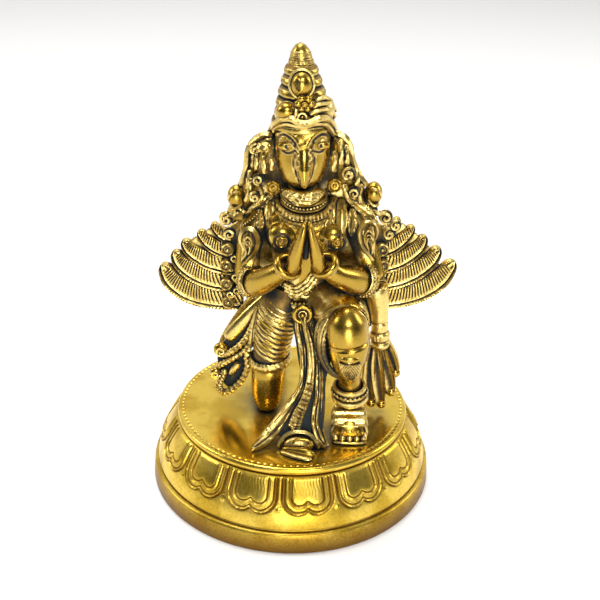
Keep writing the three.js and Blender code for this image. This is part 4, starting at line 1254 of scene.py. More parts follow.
def strip():
    """The cloth that falls in front from the belt to the plate: three bands with deep grooves and cords, that
    part over an arch with the shell ornament under it."""

    def plain(t, s):
        ridge = 0.32 * np.exp(-(((s + 0.75) / 0.2) ** 2)) * (1 + 0.3 * np.cos(2 * math.pi * 30 * t))
        groove = 0.45 * np.exp(-(((s - 0.25) / 0.15) ** 2))
        return ridge - groove + 0.12 * np.cos(30 * t + 5 * s) * np.cos(9 * s)

    # Random mottling, with shade painted in the deep groove
    def mottled_and_shaded(t, s):
        wear_and_shade = 0.42 + 0.4 * np.cos(19 * t + 3 * s) * np.cos(4 * s - 31 * t)
        return wear_and_shade - 0.9 * np.exp(-(((s - 0.25) / 0.16) ** 2))

    def hatched(t, s):
        strokes = (t > 0.5) * 0.2 * np.cos(2 * math.pi * 34 * t) * (np.abs(s) < 0.85)
        return strokes + 0.14 * np.cos(7 * t + 4 * s)

    forms = []
    for rows, lift in zip(STRIP, (plain, hatched, plain)):
        forms.append(slab([(*row, 1.0) for row in rows], cols=12, steps=96, edge=0.35, lift=lift,
                          ends=(0.02, 0.02), back=0.7, tone=mottled_and_shaded))
    # A pad behind the bands, painted dark as shade
    forms.append(slab([
        (0.9, -7.6, 31.4, 4.3, 0.7), (2.8, -9.6, 26, 4.9, 0.8), (3.1, -11.6, 21, 4.4, 0.8),
        (2.9, -14, 16, 3.3, 0.8), (2.2, -15.6, 12, 4, 0.9), (1.2, -17, 8, 5, 1), (-0.4, -18.6, 4, 6.4, 1),
        (-1.6, -20.2, 0.5, 8, 1),
    ], cols=8, steps=40, ends=(0.02, 0.01), tone=painted_shade_pad))
    for path, thick, twist in STRIP_CORDS:
        forms.append(cord(path, thick, spacing=0.4, twist=twist))
    forms += [
        cord(ARCH, 0.62, sides=8, spacing=0.3, gather=SMOOTH_GATHER),
        ball((-0.6, -22, 1.0), (4.2, 2.4, 2.3)),
        ring((0.1, -23.5, 2.1), (0, -1, 0.45), (2.2, 1.2), 0.38, around=34, tone=SKIN),
        ball((0.1, -23.2, 2.1), (1.3, 0.8, 0.7)),
        sweep([
            (-4.9, -24, 0.7, 0.7, 0.6), (-2.2, -25, 1.0, 0.9, 0.85), (0.8, -26, 1.1, 1.25, 1.05),
            (3.6, -26.8, 0.8, 1.1, 0.8),
        ], across=UP, sides=18, steps=24, ends=(0.15, 0.2), tone=SKIN),
        sweep([(-5.2, -24.6, 0.4, 0.5, 0.8), (-1.6, -26.4, 0.4, 0.5, 1.1), (2.8, -28, 0.4, 0.5, 1.1)],
              across=UP, sides=14, steps=20, relief=lambda t, angle: 0.08 * np.cos(60 * t),
              ends=(0.15, 0.15)),
    ]
    return forms


# The roped rims of the left cloth: the path and thickness of each
LEFT_RIMS = [
    ([(-12.4, -3.0, 28.6), (-13.6, -3.5, 25.6), (-15.2, -3.7, 22.0), (-18.2, -3.8, 18.6),
      (-21.2, -3.8, 16.6)], 0.85),
    ([(-12.0, -3.2, 25.4), (-13.8, -3.6, 21.2), (-16.6, -3.8, 17.4), (-20.2, -4, 15.0),
      (-23.2, -3.8, 12.9)], 0.8),
    ([(-13.4, -3.0, 21.4), (-15.0, -3.6, 17.4), (-14.9, -3.8, 13.0), (-16.4, -3.8, 9.0), (-19.2, -3.6, 5.7),
      (-21.6, -3.4, 4.6), (-22.8, -3.4, 6.5), (-22.0, -3.4, 9.2), (-20.8, -3.6, 12.2)], 0.95),
]


def left_cloth():
    """The cloth beside the kneeling leg: a smooth fold over three nested loops with roped rims, and two
    knobs."""
    forms = [
        sweep([
            (-9.4, -1.2, 34, 1.3, 1.2), (-13.6, -1.6, 29, 1.9, 1.4), (-17.2, -2, 24.6, 2.1, 1.4),
            (-20.4, -2.2, 20.6, 1.7, 1.2),
        ], across=(0.7, 0, -0.7), sides=16, steps=26, tone=0.8),
        # A pad behind the loops, painted dark as shade
        slab([
            (-12.8, -1.4, 28.6, 1.8, 0.8), (-16.4, -1.8, 21.6, 3.2, 0.9), (-18.6, -2, 15.4, 4.3, 0.9),
            (-19, -2.1, 9.6, 3.4, 0.9), (-20, -2.2, 5.6, 1.8, 0.7),
        ], cols=8, ends=(0.05, 0.12), tone=painted_shade_pad),
        slab([
            (-11, 2.6, 33, 2.2, 0.8), (-15.6, 2.2, 24, 3.6, 0.9), (-19, 1.6, 16, 4.2, 0.9),
            (-20, 0.6, 8, 3, 0.9),
        ], across=LEFT, cols=12, lift=lambda t, s: 0.4 * np.cos(9 * s), ends=(0.05, 0.12), tone=CLOTH),
        sweep([
            (-18.4, -3.4, 13.6, 0.6), (-17.4, -4, 14.2, 0.9, 0.8), (-18.6, -4, 12.2, 1.0, 0.8),
            (-19.8, -3.8, 10.6, 0.5),
        ], sides=10, steps=14),
    ]
    for path, thick in LEFT_RIMS:
        forms.append(cord(path, thick, sides=9, spacing=0.3, twist=0.8))
    for x, z in ((-11.4, 31.6), (-12.2, 31.4)):
        forms.append(cord([(x, -3, z), (x - 1.2, -3.8, 26.4), (x - 1.8, -4, 21)], 0.6, gather=FOLD_GATHER))
    for x, y, z, radius in ((-22, -2.8, 17.8, 2.1), (-23.6, -2.9, 10.6, 1.7)):
        forms.append(ball((x, y, z), (radius, 1.4, radius), tone=SKIN))
        forms.append(coil((x, y - 1.2, z), radius * 0.86, 0.34, rise=0.4, hand=-1, gather=SMOOTH_GATHER))
    return forms


# The flame-like tips of the sash, each with the ball at its end
SASH_TIPS = [
    [(21.8, -3.6, 22, 1.2), (23.4, -3.5, 18, 1.7), (24.6, -3.3, 14.6, 1.6), (25.4, -3.1, 11.8, 1.0)],
    [(20.9, -4, 20.6, 1.1), (22.2, -4.1, 15.6, 1.6), (23.8, -3.9, 10.4, 1.6), (24.6, -3.6, 6, 1)],
    [(19.9, -4.2, 20.6, 1.1), (20.2, -4.4, 14, 1.6), (21.2, -4.2, 7.4, 1.6), (22, -4.1, 2.4, 0.9)],
    [(18.8, -4, 20.6, 1.1), (18.2, -4.1, 14, 1.5), (18.3, -4, 8, 1.5), (19.2, -3.9, 2.6, 0.8)],
]


def right_sash():
    """The sash under the elbow: a plain cuff, a hatched band, a bell and its flame-like tips."""

    def lines(t, angle):
        cuts = sum(np.exp(-(((t - at) / 0.012) ** 2)) for at in (0.52, 0.66, 0.8))
        strokes = 0.09 * np.cos(20 * angle) * (np.abs(t - 0.73) < 0.055)
        swell = 0.3 * np.exp(-(((t - 0.73) / 0.06) ** 4)) + 0.35 * np.exp(-(((t - 0.87) / 0.05) ** 2))
        return strokes + swell - 0.35 * cuts

    forms = [
        sweep([
            (18.4, -3.4, 38.4, 3.5), (19.4, -3.6, 34.4, 3), (20, -3.8, 30.4, 2.4), (20.3, -4, 26.4, 2.3),
            (20.6, -4, 22.6, 2.3), (20.9, -4, 19.6, 2.4),
        ], sides=40, steps=90, relief=lines, ends=(0.05, 0.08)),
        sweep([(9, 1, 34, 3, 3), (15.6, -0.6, 31, 3, 2), (19, -2, 26, 2.4, 1.6)], steps=20, tone=CLOTH),
    ]

    def flame(t, s):
        rim = 0.5 * np.exp(-(((np.abs(s) - 0.8) / 0.17) ** 2)) * (1 + 0.25 * np.cos(2 * math.pi * 15 * t))
        return rim - 0.5 * np.exp(-((s / 0.36) ** 2))

    # The hollow of each flame is painted dark as shade
    def hollowed(t, s):
        return CARVED + 0.3 - 2 * np.exp(-((s / 0.36) ** 2)) * (t < 0.9)

    for rows in SASH_TIPS:
        shape = [(x, y, z, half * 1.15, 0.95) for x, y, z, half in rows]
        forms.append(slab(shape, cols=12, steps=40, edge=0.55, lift=flame, ends=(0.04, 0.1), tone=hollowed))
        x, y, z, _ = rows[-1]
        forms.append(ball((x, y - 0.5, z + 0.2), (1.35, 1.2, 1.35), 3, SKIN))
    # A pad behind the flames, painted dark as shade
    forms.append(slab([
        (20.4, -2.4, 21, 2.2, 0.7), (21.4, -2.4, 15, 3.8, 0.8), (21.8, -2.4, 9, 3.8, 0.8),
        (21.4, -2.4, 4, 2.4, 0.7),
    ], cols=6, steps=20, ends=(0.05, 0.15), tone=painted_shade_pad))
    return forms


def back_skirt():
    """The pleated skirt over the seat, with a beaded hem."""

    def folds(t, s):
        return 0.5 * np.cos(2 * math.pi * 4.5 * s) + 0.35 * np.exp(-(((t - 0.93) / 0.04) ** 2))

    forms = [
        slab([(0, 5.6, 36, 7.4, 1.2), (0, 7.4, 30, 9, 1.3), (0, 7.4, 24.6, 9.4, 1.2), (0, 6.4, 21.8, 8.4, 1)],
             across=LEFT, cols=44, steps=40, edge=0.6, lift=folds, ends=(0.04, 0.04), tone=CLOTH),
    ]
    forms += beads([(x, 8.5 - 0.02 * x * x, 23) for x in np.linspace(-8.4, 8.4, 22)], 0.42)
    return forms


def hip_folds(ground):
    """The folds of cloth that fan from the belt over both thighs."""
    forms = []
    for k in range(5):
        places = [(1.6 + 0.5 * k, 30.6 - 0.3 * k), (4.2 + 0.6 * k, 33.4 - 0.2 * k),
                  (7 + 0.5 * k, 36 + 0.2 * k), (9 + 0.6 * k, 36.2 + 0.1 * k)]
        path = ground.laid(places, otherwise=-8)
        forms.append(cord(path, 0.42, spacing=0.3, twist=0.45 if k % 2 else 0, gather=FOLD_GATHER))
    for k in range(4):
        places = [(-2.6 - 0.4 * k, 31 - 0.7 * k), (-4.6 - 0.8 * k, 31.4 - 1.1 * k),
                  (-7 - 0.9 * k, 32.6 - 1.3 * k), (-9 - 0.6 * k, 34 - 1.6 * k)]
        forms.append(cord(ground.laid(places), 0.36, spacing=0.35, gather=FOLD_GATHER))
    return forms


# The finishes


class Wire:
    """A material's socket, with sums written as Python writes them."""

    def __init__(self, finish, socket):
        self.finish = finish
        self.socket = socket

    def __add__(self, other):
        return self.finish.sum("ADD", self, other)

    __radd__ = __add__

    def __sub__(self, other):
        return self.finish.sum("SUBTRACT", self, other)

    def __rsub__(self, other):
        return self.finish.sum("SUBTRACT", other, self)

    def __mul__(self, other):
        return self.finish.sum("MULTIPLY", self, other)

    __rmul__ = __mul__

    def __pow__(self, other):
        return self.finish.sum("POWER", self, other)


class Finish:
    """A material that is built node by node."""

    def __init__(self, name):
        self.material = bpy.data.materials.new(name)
        self.material.use_nodes = True
        self.tree = self.material.node_tree
        self.shader = self.tree.nodes["Principled BSDF"]

    def node(self, kind, settings=None, **inputs):
        """A node, its settings made first and then the values or links of its sockets, which are given by
        name or, as i0 and i1, by number."""
        node = self.tree.nodes.new(kind)
        for name, value in (settings or {}).items():
            setattr(node, name, value)
        for name, value in inputs.items():
            key = int(name[1:]) if name[1:].isdigit() else name.replace("_", " ")
            self.join(node.inputs[key], value)
        return node

    def join(self, socket, value):
        """A link into a socket, or its value."""
        if isinstance(value, Wire):
            self.tree.links.new(value.socket, socket)
        else:
            socket.default_value = value

    def sum(self, operation, a, b):
        """One sum of two values or links."""
        return Wire(self, self.node("ShaderNodeMath", {"operation": operation}, i0=a, i1=b).outputs[0])

    def place(self):
        """The place on the object, in metres."""
        return Wire(self, self.node("ShaderNodeTexCoord").outputs["Object"])

    def polish_and_shade(self):
        """How brightly the mesh says that it is polished, with the shade that is painted on it."""
        return Wire(self, self.node("ShaderNodeAttribute", {"attribute_name": "polish_and_shade"}).outputs["Fac"])

    def noise(self, place, size, detail=3.0, roughness=0.5):
        """Noise from 0 to 1, whose lumps have that size in metres."""
        node = self.node("ShaderNodeTexNoise", None, Vector=place, Scale=1 / size, Detail=detail,
                         Roughness=roughness)
        return Wire(self, node.outputs[0])

    def eased(self, value, low, high):
        """0 below low and 1 above high, with a soft step between. Low may be above high."""
        kind = {"interpolation_type": "SMOOTHSTEP"}
        node = self.node("ShaderNodeMapRange", kind, i0=value, i1=low, i2=high)
        return Wire(self, node.outputs[0])

    def hollows(self, reach, alone=True):
        """How open the surface is, from 0 in a deep hollow to 1 in the open, alone or beside other pieces."""
        node = self.node("ShaderNodeAmbientOcclusion", {"samples": 8, "only_local": alone}, Distance=reach)
        return Wire(self, node.outputs["AO"])

    def mixed(self, amount, first, second):
        """A colour between two, the first at 0."""
        node = self.node("ShaderNodeMix", {"data_type": "RGBA"}, i0=amount)
        for socket, value in ((node.inputs[6], first), (node.inputs[7], second)):
            self.join(socket, value if isinstance(value, Wire) else (*value, 1))
        return Wire(self, node.outputs[2])

    def bumped(self, height, strength, depth, normal=None):
        """A bump of that depth in metres, on top of another where one is given."""
        node = self.node("ShaderNodeBump", None, Strength=strength, Distance=depth, Height=height)
        if normal:
            self.join(node.inputs["Normal"], normal)
        return Wire(self, node.outputs[0])

    def set(self, **inputs):
        """The shader's own inputs, by name."""
        for name, value in inputs.items():
            self.join(self.shader.inputs[name.replace("_", " ")], value)


def cast_brass(colours):
    """Cast brass, rubbed bright where hands touch it, brown in small hollows and blue-black in deep ones:
    partly tarnishing and patination, partly painted shade.
    """
    finish = Finish("cast brass")
    place = finish.place()
    polish_and_shade = finish.polish_and_shade()
    near = finish.hollows(1.5 * MM)
    far = finish.hollows(9 * MM)
    cloud = finish.noise(place, 9 * MM, 4)
    grain = finish.noise(place, 0.5 * MM, 4, 0.6)
    specks = finish.noise(place, 1.6 * MM, 3, 0.65)
    patch = finish.noise(place, 3.5 * MM, 3, 0.6)
    # Brown tarnishing in small hollows and random patches, also following the shade painted on the mesh
    brown = finish.eased(near + 0.45 * polish_and_shade + 0.6 * patch + 0.6 * specks, 1.9, 1.42)
    # Blue-black patination of the hollows, with painted shade: the wide reach darkens where shade falls, and
    # the mesh adds its painted shade
    open_place = near * 0.6 + far * 0.6 + 0.3 * polish_and_shade + 0.16 * cloud
    black = finish.eased(open_place + 0.2 * grain + 0.3 * specks, 1.4, 1.04)
    mellow = finish.eased(polish_and_shade + 0.4 * cloud, 0.92, 1.18)
    warm = finish.mixed(mellow, tuple(colours.polished), tuple(colours.warm))
    wear_and_shade = finish.mixed(brown * 0.85, warm, tuple(colours.tarnish_and_shade))
    finish.set(
        Base_Color=finish.mixed(black, wear_and_shade, tuple(colours.patina_and_shade)),
        Metallic=1 - 0.72 * black,
        Roughness=0.25 + 0.1 * specks + 0.16 * brown + 0.2 * black - 0.03 * polish_and_shade,
    )
    pits = finish.bumped(grain, 0.16, 0.12 * MM)
    rough = specks * finish.eased(polish_and_shade, 1.0, 0.5)
    finish.set(Normal=finish.bumped(rough, 0.45, 0.5 * MM, finish.bumped(specks, 0.06, 0.3 * MM, pits)))
    return finish.material


def plinth_brass(colours):
    """Turned brass: a mirror plate, brushed petals and band, brown tarnishing and painted shade in the
    grooves, a painted shadow and dark reflection of the figure on the plate, and darker towards the bottom.
    """
    finish = Finish("turned brass")
    place = finish.place()
    split = finish.node("ShaderNodeSeparateXYZ", None, Vector=place)
    x, y, z = (Wire(finish, split.outputs[k]) for k in range(3))
    radius = (x * x + y * y) ** 0.5
    around = finish.sum("ARCTAN2", y, x) * 0.05
    joined = finish.node("ShaderNodeCombineXYZ", None, X=around, Y=z * 0.12, Z=radius * 0.12)
    brushed = finish.noise(Wire(finish, joined.outputs[0]), 0.35 * MM, 3, 0.6)
    cloud = finish.noise(place, 14 * MM, 4)
    near = finish.hollows(1.8 * MM)
    polish_and_shade = finish.polish_and_shade()
    plate = finish.eased(z, PLINTH_HIGH.z - 0.7 * MM, PLINTH_HIGH.z - 0.1 * MM)
    # Brown tarnishing in the grooves, with the shade painted on the petals' lines and the plate's nicks
    tarnish_and_shade = finish.eased(near + 0.4 * polish_and_shade + 0.12 * cloud, 1.34, 0.86)
    warm = finish.mixed(finish.eased(cloud, 0.4, 0.6), tuple(colours.turned), tuple(colours.aged))
    specks = finish.noise(place, 0.9 * MM, 3, 0.7)
    low = finish.eased(z, 10 * MM, 6 * MM)
    # Painted shadow and dark reflection of the figure on the plate round it, with some dirt
    shadow_and_grime = finish.eased(finish.hollows(22 * MM, False) + 0.2 * cloud + 0.1 * specks, 0.96, 0.5) * plate
    wear_and_shade = finish.mixed(tarnish_and_shade * 0.9, warm, tuple(colours.tarnish_and_shade))
    dusk = finish.eased(specks + 0.25 * cloud, 0.56, 0.82) * (0.35 - 0.35 * plate + 0.35 * low)
    # Darker towards the bottom
    darker_below = finish.eased(z, 9 * MM, 0) * 0.45 + low * 0.52
    speckled = finish.mixed(darker_below, finish.mixed(dusk, wear_and_shade, tuple(colours.tarnish_and_shade)), tuple(colours.tarnish_and_shade))
    satin = 0.24 + 0.14 * brushed + 0.05 * cloud + 0.22 * tarnish_and_shade
    finish.set(
        Base_Color=finish.mixed(shadow_and_grime, speckled, tuple(colours.patina_and_shade)),
        Metallic=1 - 0.6 * shadow_and_grime,
        Roughness=satin - 0.2 * plate + 0.2 * shadow_and_grime + 0.1 * low,
    )
    lines = finish.bumped(brushed, 0.3, 0.14 * MM)
    wander = finish.noise(place, 14 * MM, 2)
    finish.set(Normal=finish.bumped(wander, 0.1, 0.4 * MM, lines))
    return finish.material


def pale_floor(colour):
    """The plain floor of the photograph's room."""
    finish = Finish("pale floor")
    finish.set(Base_Color=(*colour, 1), Roughness=0.6, Specular_IOR_Level=0.2)
    return finish.material


# The plinth


# The plinth's turned shape, in millimetres: how far the lip lies inside the bell and stands above it, the top
# of the flange, the height at which the bell starts, and the steps of its curve
LIP_INSET = 9
LIP_HEIGHT = 3.2
FLANGE_TOP = 8.3
BELL_START = FLANGE_TOP + 1.3
BELL_STEPS = 62


def plinth_outline(size):
    """The turned outline from the middle of the underside to the middle of the plate, with the top of the
    bell, the radius of the lip and the height, in millimetres."""
    radius = PLINTH_HIGH.x / MM
    height = PLINTH_HIGH.z / MM
    bell = radius - size.ledge / MM
    lip = bell - LIP_INSET
    foot = height - LIP_HEIGHT
    rows = [(0, 0), (radius - 1, 0), (radius - 0.3, 0.15), (radius, 0.7), (radius - 0.5, FLANGE_TOP - 0.9),
            (radius - 0.9, FLANGE_TOP - 0.2), (radius - 1.6, FLANGE_TOP), (bell - 0.6, FLANGE_TOP + 0.2),
            (bell - 0.7, FLANGE_TOP + 0.9), (bell - 0.1, BELL_START)]
    top = lip + 0.5
    for k in range(1, BELL_STEPS + 1):
        z = BELL_START + (foot - BELL_START) * k / BELL_STEPS
        down = (foot - z) / (foot - BELL_START)
        rows.append((top + (bell - top) * (1 - (1 - down) ** 1.5), z))
    rows += [(lip - 0.2, foot + 0.15), (lip - 0.1, foot + 0.5), (lip + 0.35, foot + 1.0),
             (lip + 0.4, height - 1.2), (lip + 0.1, height - 0.5), (lip - 0.6, height - 0.05),
             (lip - 1.1, height)]
    rows += [(r, height) for r in (lip - 1.5, lip - 1.9, lip - 2.3, lip - 2.7, lip - 3.1, lip - 3.6, lip - 8)]
    rows += [(r, height) for r in (30, 20, 10, 0)]
    return np.array(rows), foot, lip, height


# A petal, in about millimetres: half the way to the next one, half its width, its length and its corners
HALF_PITCH = 10
PETAL_HALF = 8.7
PETAL_LONG = 12.2
CORNER = 6
# Its contours and grooves: how far inside its edge each lies, its width and how high it stands
CONTOURS = [
    (0.1, 0.28, 0.55), (0.65, 0.22, -0.45), (2.4, 0.28, 0.55), (2.95, 0.22, -0.5), (-0.5, 0.24, -0.42),
]
# Its lines of painted shade, in its grooves: how far inside its edge each lies, its width and how dark it is
DARK_LINES = [(0.65, 0.27, 1.2), (2.95, 0.28, 1.3), (-0.5, 0.3, 1.3)]


def petal_relief(size, z, turn, foot):
    """How far the petals stand out of the bell and how much shade is painted in their grooves: two lobes with
    a double contour, and a stippled strip with a dot between."""
    pitch = 2 * math.pi / size.petals
    p = ((turn - math.radians(size.first_petal) + pitch / 2) % pitch) / pitch * 2 - 1
    reach = foot - z
    off = np.abs(p) * HALF_PITCH
    down = reach + 0.9 * np.exp(-((off / 0.9) ** 2)) + 0.7 * np.exp(-((off / 2.6) ** 2))
    side, below = off - (PETAL_HALF - CORNER), down - (PETAL_LONG - CORNER)
    outside = np.hypot(np.maximum(side, 0), np.maximum(below, 0))
    gap = CORNER - outside - np.minimum(np.maximum(side, below), 0)

    def drawn(lines):
        return sum(much * np.exp(-(((gap - place) / width) ** 2)) for place, width, much in lines)

    top = np.clip(reach / 0.8, 0, 1)
    panel = 0.25 * np.clip((gap + 0.3) / 0.5, 0, 1) + 0.2 * np.clip((gap - 2.6) / 2, 0, 1)
    hatch = 0.07 * np.cos(p * 56 + 2 * np.sin(reach)) * (gap > 3.3) * np.clip(1 - reach / 8, 0, 1)
    veins = 0.12 * np.cos(5.2 * reach + 9 * off * (gap < 2)) * ((gap > 1) & (gap < 2))
    dot = 0.5 * np.exp(-(((off - HALF_PITCH) / 0.55) ** 2 + ((reach - 10.8) / 0.55) ** 2))
    stipple = 0.16 * np.cos(p * 62) * np.cos(reach * 4.6) * ((gap < -0.3) & (reach < 9.8))
    inside = (reach > 0.2) & (reach < 13.6)
    # Shade painted in the grooves, on the stippled strip and in the hatching's troughs
    dark = drawn(DARK_LINES) + 0.35 * (gap < -0.3) * (reach < 9.8) + 0.2 * (hatch < -0.02)
    carving = top * (panel + drawn(CONTOURS) + hatch + veins)
    return np.where(inside, carving + dot + stipple, 0), inside * top * dark


def plinth_band(rows, sides):
    """A closed turned form, without its relief: the angle, radius and height of each point, and its faces."""
    steps = len(rows) - 1
    uv, faces = grid(sides, steps)
    row = np.rint(uv[:, 1] * steps).astype(int)
    return 2 * math.pi * uv[:, 0], rows[row, 0], rows[row, 1], faces


def in_round(angle, radius, height):
    """Places from their angle, radius and height."""
    return np.stack([radius * np.cos(angle), radius * np.sin(angle), height], axis=1)


# How far the bell's two ends turn in before they close, and how far the core lies inside the bell
TURN_IN = 3
CORE_INSET = 1.2


def plinth_forms(size):
    """The bell with its petals, and the core with the flange and plate that hold it."""
    rows, foot, lip, height = plinth_outline(size)
    bell = (rows[:, 1] > BELL_START - 0.1) & (rows[:, 1] < foot + 0.3)
    first, last = np.flatnonzero(bell)[[0, -1]]
    (low_r, low_z), (high_r, high_z) = rows[first], rows[last]
    fine = np.vstack([[(0, low_z), (low_r - TURN_IN, low_z)], rows[first:last + 1],
                      [(high_r - TURN_IN, high_z), (0, high_z)]])
    angle, r, z, faces = plinth_band(fine, size.fineness * size.petals)
    relief, dark = petal_relief(size, z, angle + math.pi / 2, foot)
    on_bell = (z > BELL_START + 0.1) & (z < foot - 0.01)
    r = r + np.where(on_bell, relief, 0)
    # The petals' painted shade goes on the mesh
    forms = [(in_round(angle, r, z), faces, SKIN - 1.1 * dark * on_bell)]

    rows[first:last + 1, 0] -= CORE_INSET
    core = np.delete(rows, np.s_[first + 1:last], axis=0)
    angle, r, z, faces = plinth_band(core, 4 * size.plate_beads)
    nick = 0.5 + 0.5 * np.cos(size.plate_beads * angle)
    bead = np.exp(-(((r - lip + 1.9) / 0.5) ** 2)) * (z > height - 0.01)
    z = z - 0.5 * bead * nick
    # Shade painted into the plate's nicks
    forms.append((in_round(angle, r, z), faces, SKIN - 1.2 * bead * nick))
    return forms


# Sizes and colours that a user would change


class FigureSizes(bpy.types.PropertyGroup):
    """How fine the figure is modelled."""

    skin_voxel: bpy.props.FloatProperty(
        name="Skin voxel", description="Cells that melt the body together, in hundredths of the height",
        default=0.27, min=0.1)
    skin_faces: bpy.props.IntProperty(
        name="Skin triangles", description="Triangles kept on the melted body", default=20000, min=1000)
    most_faces: bpy.props.IntProperty(
        name="Most triangles", description="Triangles the figure is thinned to", default=192000, min=1000)


class PlinthSizes(bpy.types.PropertyGroup):
    """The plinth's turned and chased forms."""

    ledge: bpy.props.FloatProperty(
        name="Ledge", description="How far the flange stands out", default=2 * MM, unit="LENGTH")
    petals: bpy.props.IntProperty(name="Petals", description="Petals round the bell", default=15, min=3)
    first_petal: bpy.props.FloatProperty(
        name="First petal", description="Degrees from the front to the first petal's middle", default=7.4)
    plate_beads: bpy.props.IntProperty(
        name="Plate beads", description="Nicks in the ring engraved on the plate", default=112, min=10)
    fineness: bpy.props.IntProperty(
        name="Fineness", description="Columns of faces on each petal", default=72, min=12)


class BrassColours(bpy.types.PropertyGroup):
    """The colours of the brass and of the floor."""

    polished: bpy.props.FloatVectorProperty(
        name="Polished", description="Brass where it is bright", subtype="COLOR", default=(0.82, 0.62, 0.2))
    warm: bpy.props.FloatVectorProperty(
        name="Warm", description="Brass where it has mellowed", subtype="COLOR", default=(0.47, 0.3, 0.045))
    turned: bpy.props.FloatVectorProperty(
        name="Turned", description="The plinth where bright", subtype="COLOR", default=(0.84, 0.59, 0.09))
    aged: bpy.props.FloatVectorProperty(
        name="Aged", description="The plinth where mellowed", subtype="COLOR", default=(0.62, 0.4, 0.035))
    # Brown of tarnishing, also used for painted shade
    tarnish_and_shade: bpy.props.FloatVectorProperty(
        name="Tarnish", description="Brown in small hollows", subtype="COLOR", default=(0.2, 0.1, 0.015))
    # Blue-black of patination, also used for painted shade and for the painted shadow on the plate
    patina_and_shade: bpy.props.FloatVectorProperty(
        name="Patina", description="Blue-black in hollows", subtype="COLOR", default=(0.008, 0.014, 0.016))
    floor: bpy.props.FloatVectorProperty(
        name="Floor", description="The pale floor", subtype="COLOR", default=(0.97, 0.97, 0.97))


# The angle between two faces, in degrees, from which their edge stays sharp
SHARP_FROM = 50


def finished(piece, material, node):
    """A piece with its material, riding on the body and standing for a node."""
    piece.data.materials.append(material)
    clear_selection()
    piece.select_set(True)
    bpy.context.view_layer.objects.active = piece
    bpy.ops.object.shade_smooth_by_angle(angle=math.radians(SHARP_FROM))
    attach(piece, ROOT)
    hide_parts(node)


class BRASS_OT_figure(bpy.types.Operator):
    """Models the cast figure"""

    bl_idname = "brass.figure"
    bl_label = "Garuda figure"

    def execute(self, context):
        size = context.scene.brass_figure
        chest, head = trunk(), skull()
        limbs = [limb(arm) for arm in ARMS]
        body = chest + legs() + wing_plate() + hair_mass() + [form for pair in limbs for form in pair]
        leg_ground = Ground(legs())
        chest_ground = Ground(chest + hair_mass() + [upper for upper, _ in limbs])
        forms = [shaded(*fused(body, size.skin_voxel, size.skin_faces)), *head]
        forms += palms() + crown() + crown_jewels() + face(Ground(head)) + hair_and_ears() + back_hair()
        forms += collar(chest_ground) + armlet(-1, 0, 0) + armlet(1, 1.4, 2.4)
        forms += [form for arm in ARMS for form in bracelets(arm)] + belt(Ground(chest))
        forms += [form for each in WINGS for form in wing(**each)] + back_plumage()
        forms += kneeling_leg() + standing_leg() + standing_foot() + kneeling_foot() + hip_folds(leg_ground)
        forms += strip() + left_cloth() + right_sash() + back_skirt()
        piece = mesh_object("garuda_casting", forms, SHARE, FIGURE_PLACE)
        thinned(piece, size.most_faces)
        cut_at_plate(piece)
        finished(piece, cast_brass(context.scene.brass_colours), FIGURE_NODE)
        return {"FINISHED"}


# The face keeps all its triangles: the middle and the half sizes of its place
FACE_PLACE = ((-1.2, -8, 74), (8.4, 6.5, 9.4))


def thinned(piece, most):
    """The piece in triangles, no more than that many, fewest where it is flat and outside the face."""
    modified(piece, "TRIANGULATE")
    if len(piece.data.polygons) > most:
        place = (points_of(piece.data) - FIGURE_PLACE) / SHARE
        far = np.abs((place - FACE_PLACE[0]) / FACE_PLACE[1]).max(axis=1)
        spare = piece.vertex_groups.new(name="spare")
        spare.add(np.flatnonzero(far > 1).tolist(), 1, "REPLACE")
        modified(piece, "DECIMATE", ratio=most / len(piece.data.polygons), vertex_group=spare.name)


def cut_at_plate(piece):
    """Nothing of the figure reaches below the plate it stands on."""
    place = points_of(piece.data)
    place[:, 2] = np.maximum(place[:, 2], FIGURE_LOW.z)
    piece.data.vertices.foreach_set("co", place.ravel())


class BRASS_OT_plinth(bpy.types.Operator):
    """Models the turned plinth with its petals"""

    bl_idname = "brass.plinth"
    bl_label = "Lotus plinth"

    def execute(self, context):
        piece = mesh_object("lotus_plinth_chased", plinth_forms(context.scene.brass_plinth), MM)
        finished(piece, plinth_brass(context.scene.brass_colours), PLINTH_NODE)
        return {"FINISHED"}


# The camera, which looks down on the figure as the photograph does
CAMERA_PLACE = Vector((0, -348.92, 256.07)) * MM
CAMERA_RIGHT = Vector((0.999778, 0.004117, 0.020653))
CAMERA_UP = Vector((-0.020267, 0.454449, 0.890542))
CAMERA_LENS = 60
CAMERA_SENSOR = 36

# Each soft light: its place in metres, its width and height, its power in watts and its warmth
LIGHTS = [
    ("window", (0.15, -0.9, 0.9), (0.3, 0.3), 7.0, (1, 0.99, 0.97)),
    ("low front", (0.1, -1.0, 0.12), (0.36, 0.26), 3.6, (1, 0.99, 0.97)),
    ("left", (-1.0, 0.1, 0.7), (0.2, 0.5), 3.5, (1, 0.98, 0.95)),
    ("right", (1.0, 0.2, 0.6), (0.2, 0.5), 3.0, (1, 0.98, 0.96)),
    ("top", (-0.1, 0.2, 1.3), (0.5, 0.4), 7.0, (1, 1, 1)),
    ("back", (0.0, 0.9, 1.4), (1.0, 0.3), 4.0, (1, 1, 1)),
]
# The place that every light shines at, in metres
LIGHT_AIM = Vector((0, 0, 0.09))
# How bright the room is to the front, overhead and at the back
ROOM = {"front": 0.02, "above": 0.2, "back": 0.9}
# Between which shares of a look to the back, and of a look up, the room turns pale
PALER_BACK = (-0.5, 0.85)
PALER_UP = (0.3, 0.95)
# The width of the floor, in metres
FLOOR_WIDTH = 12


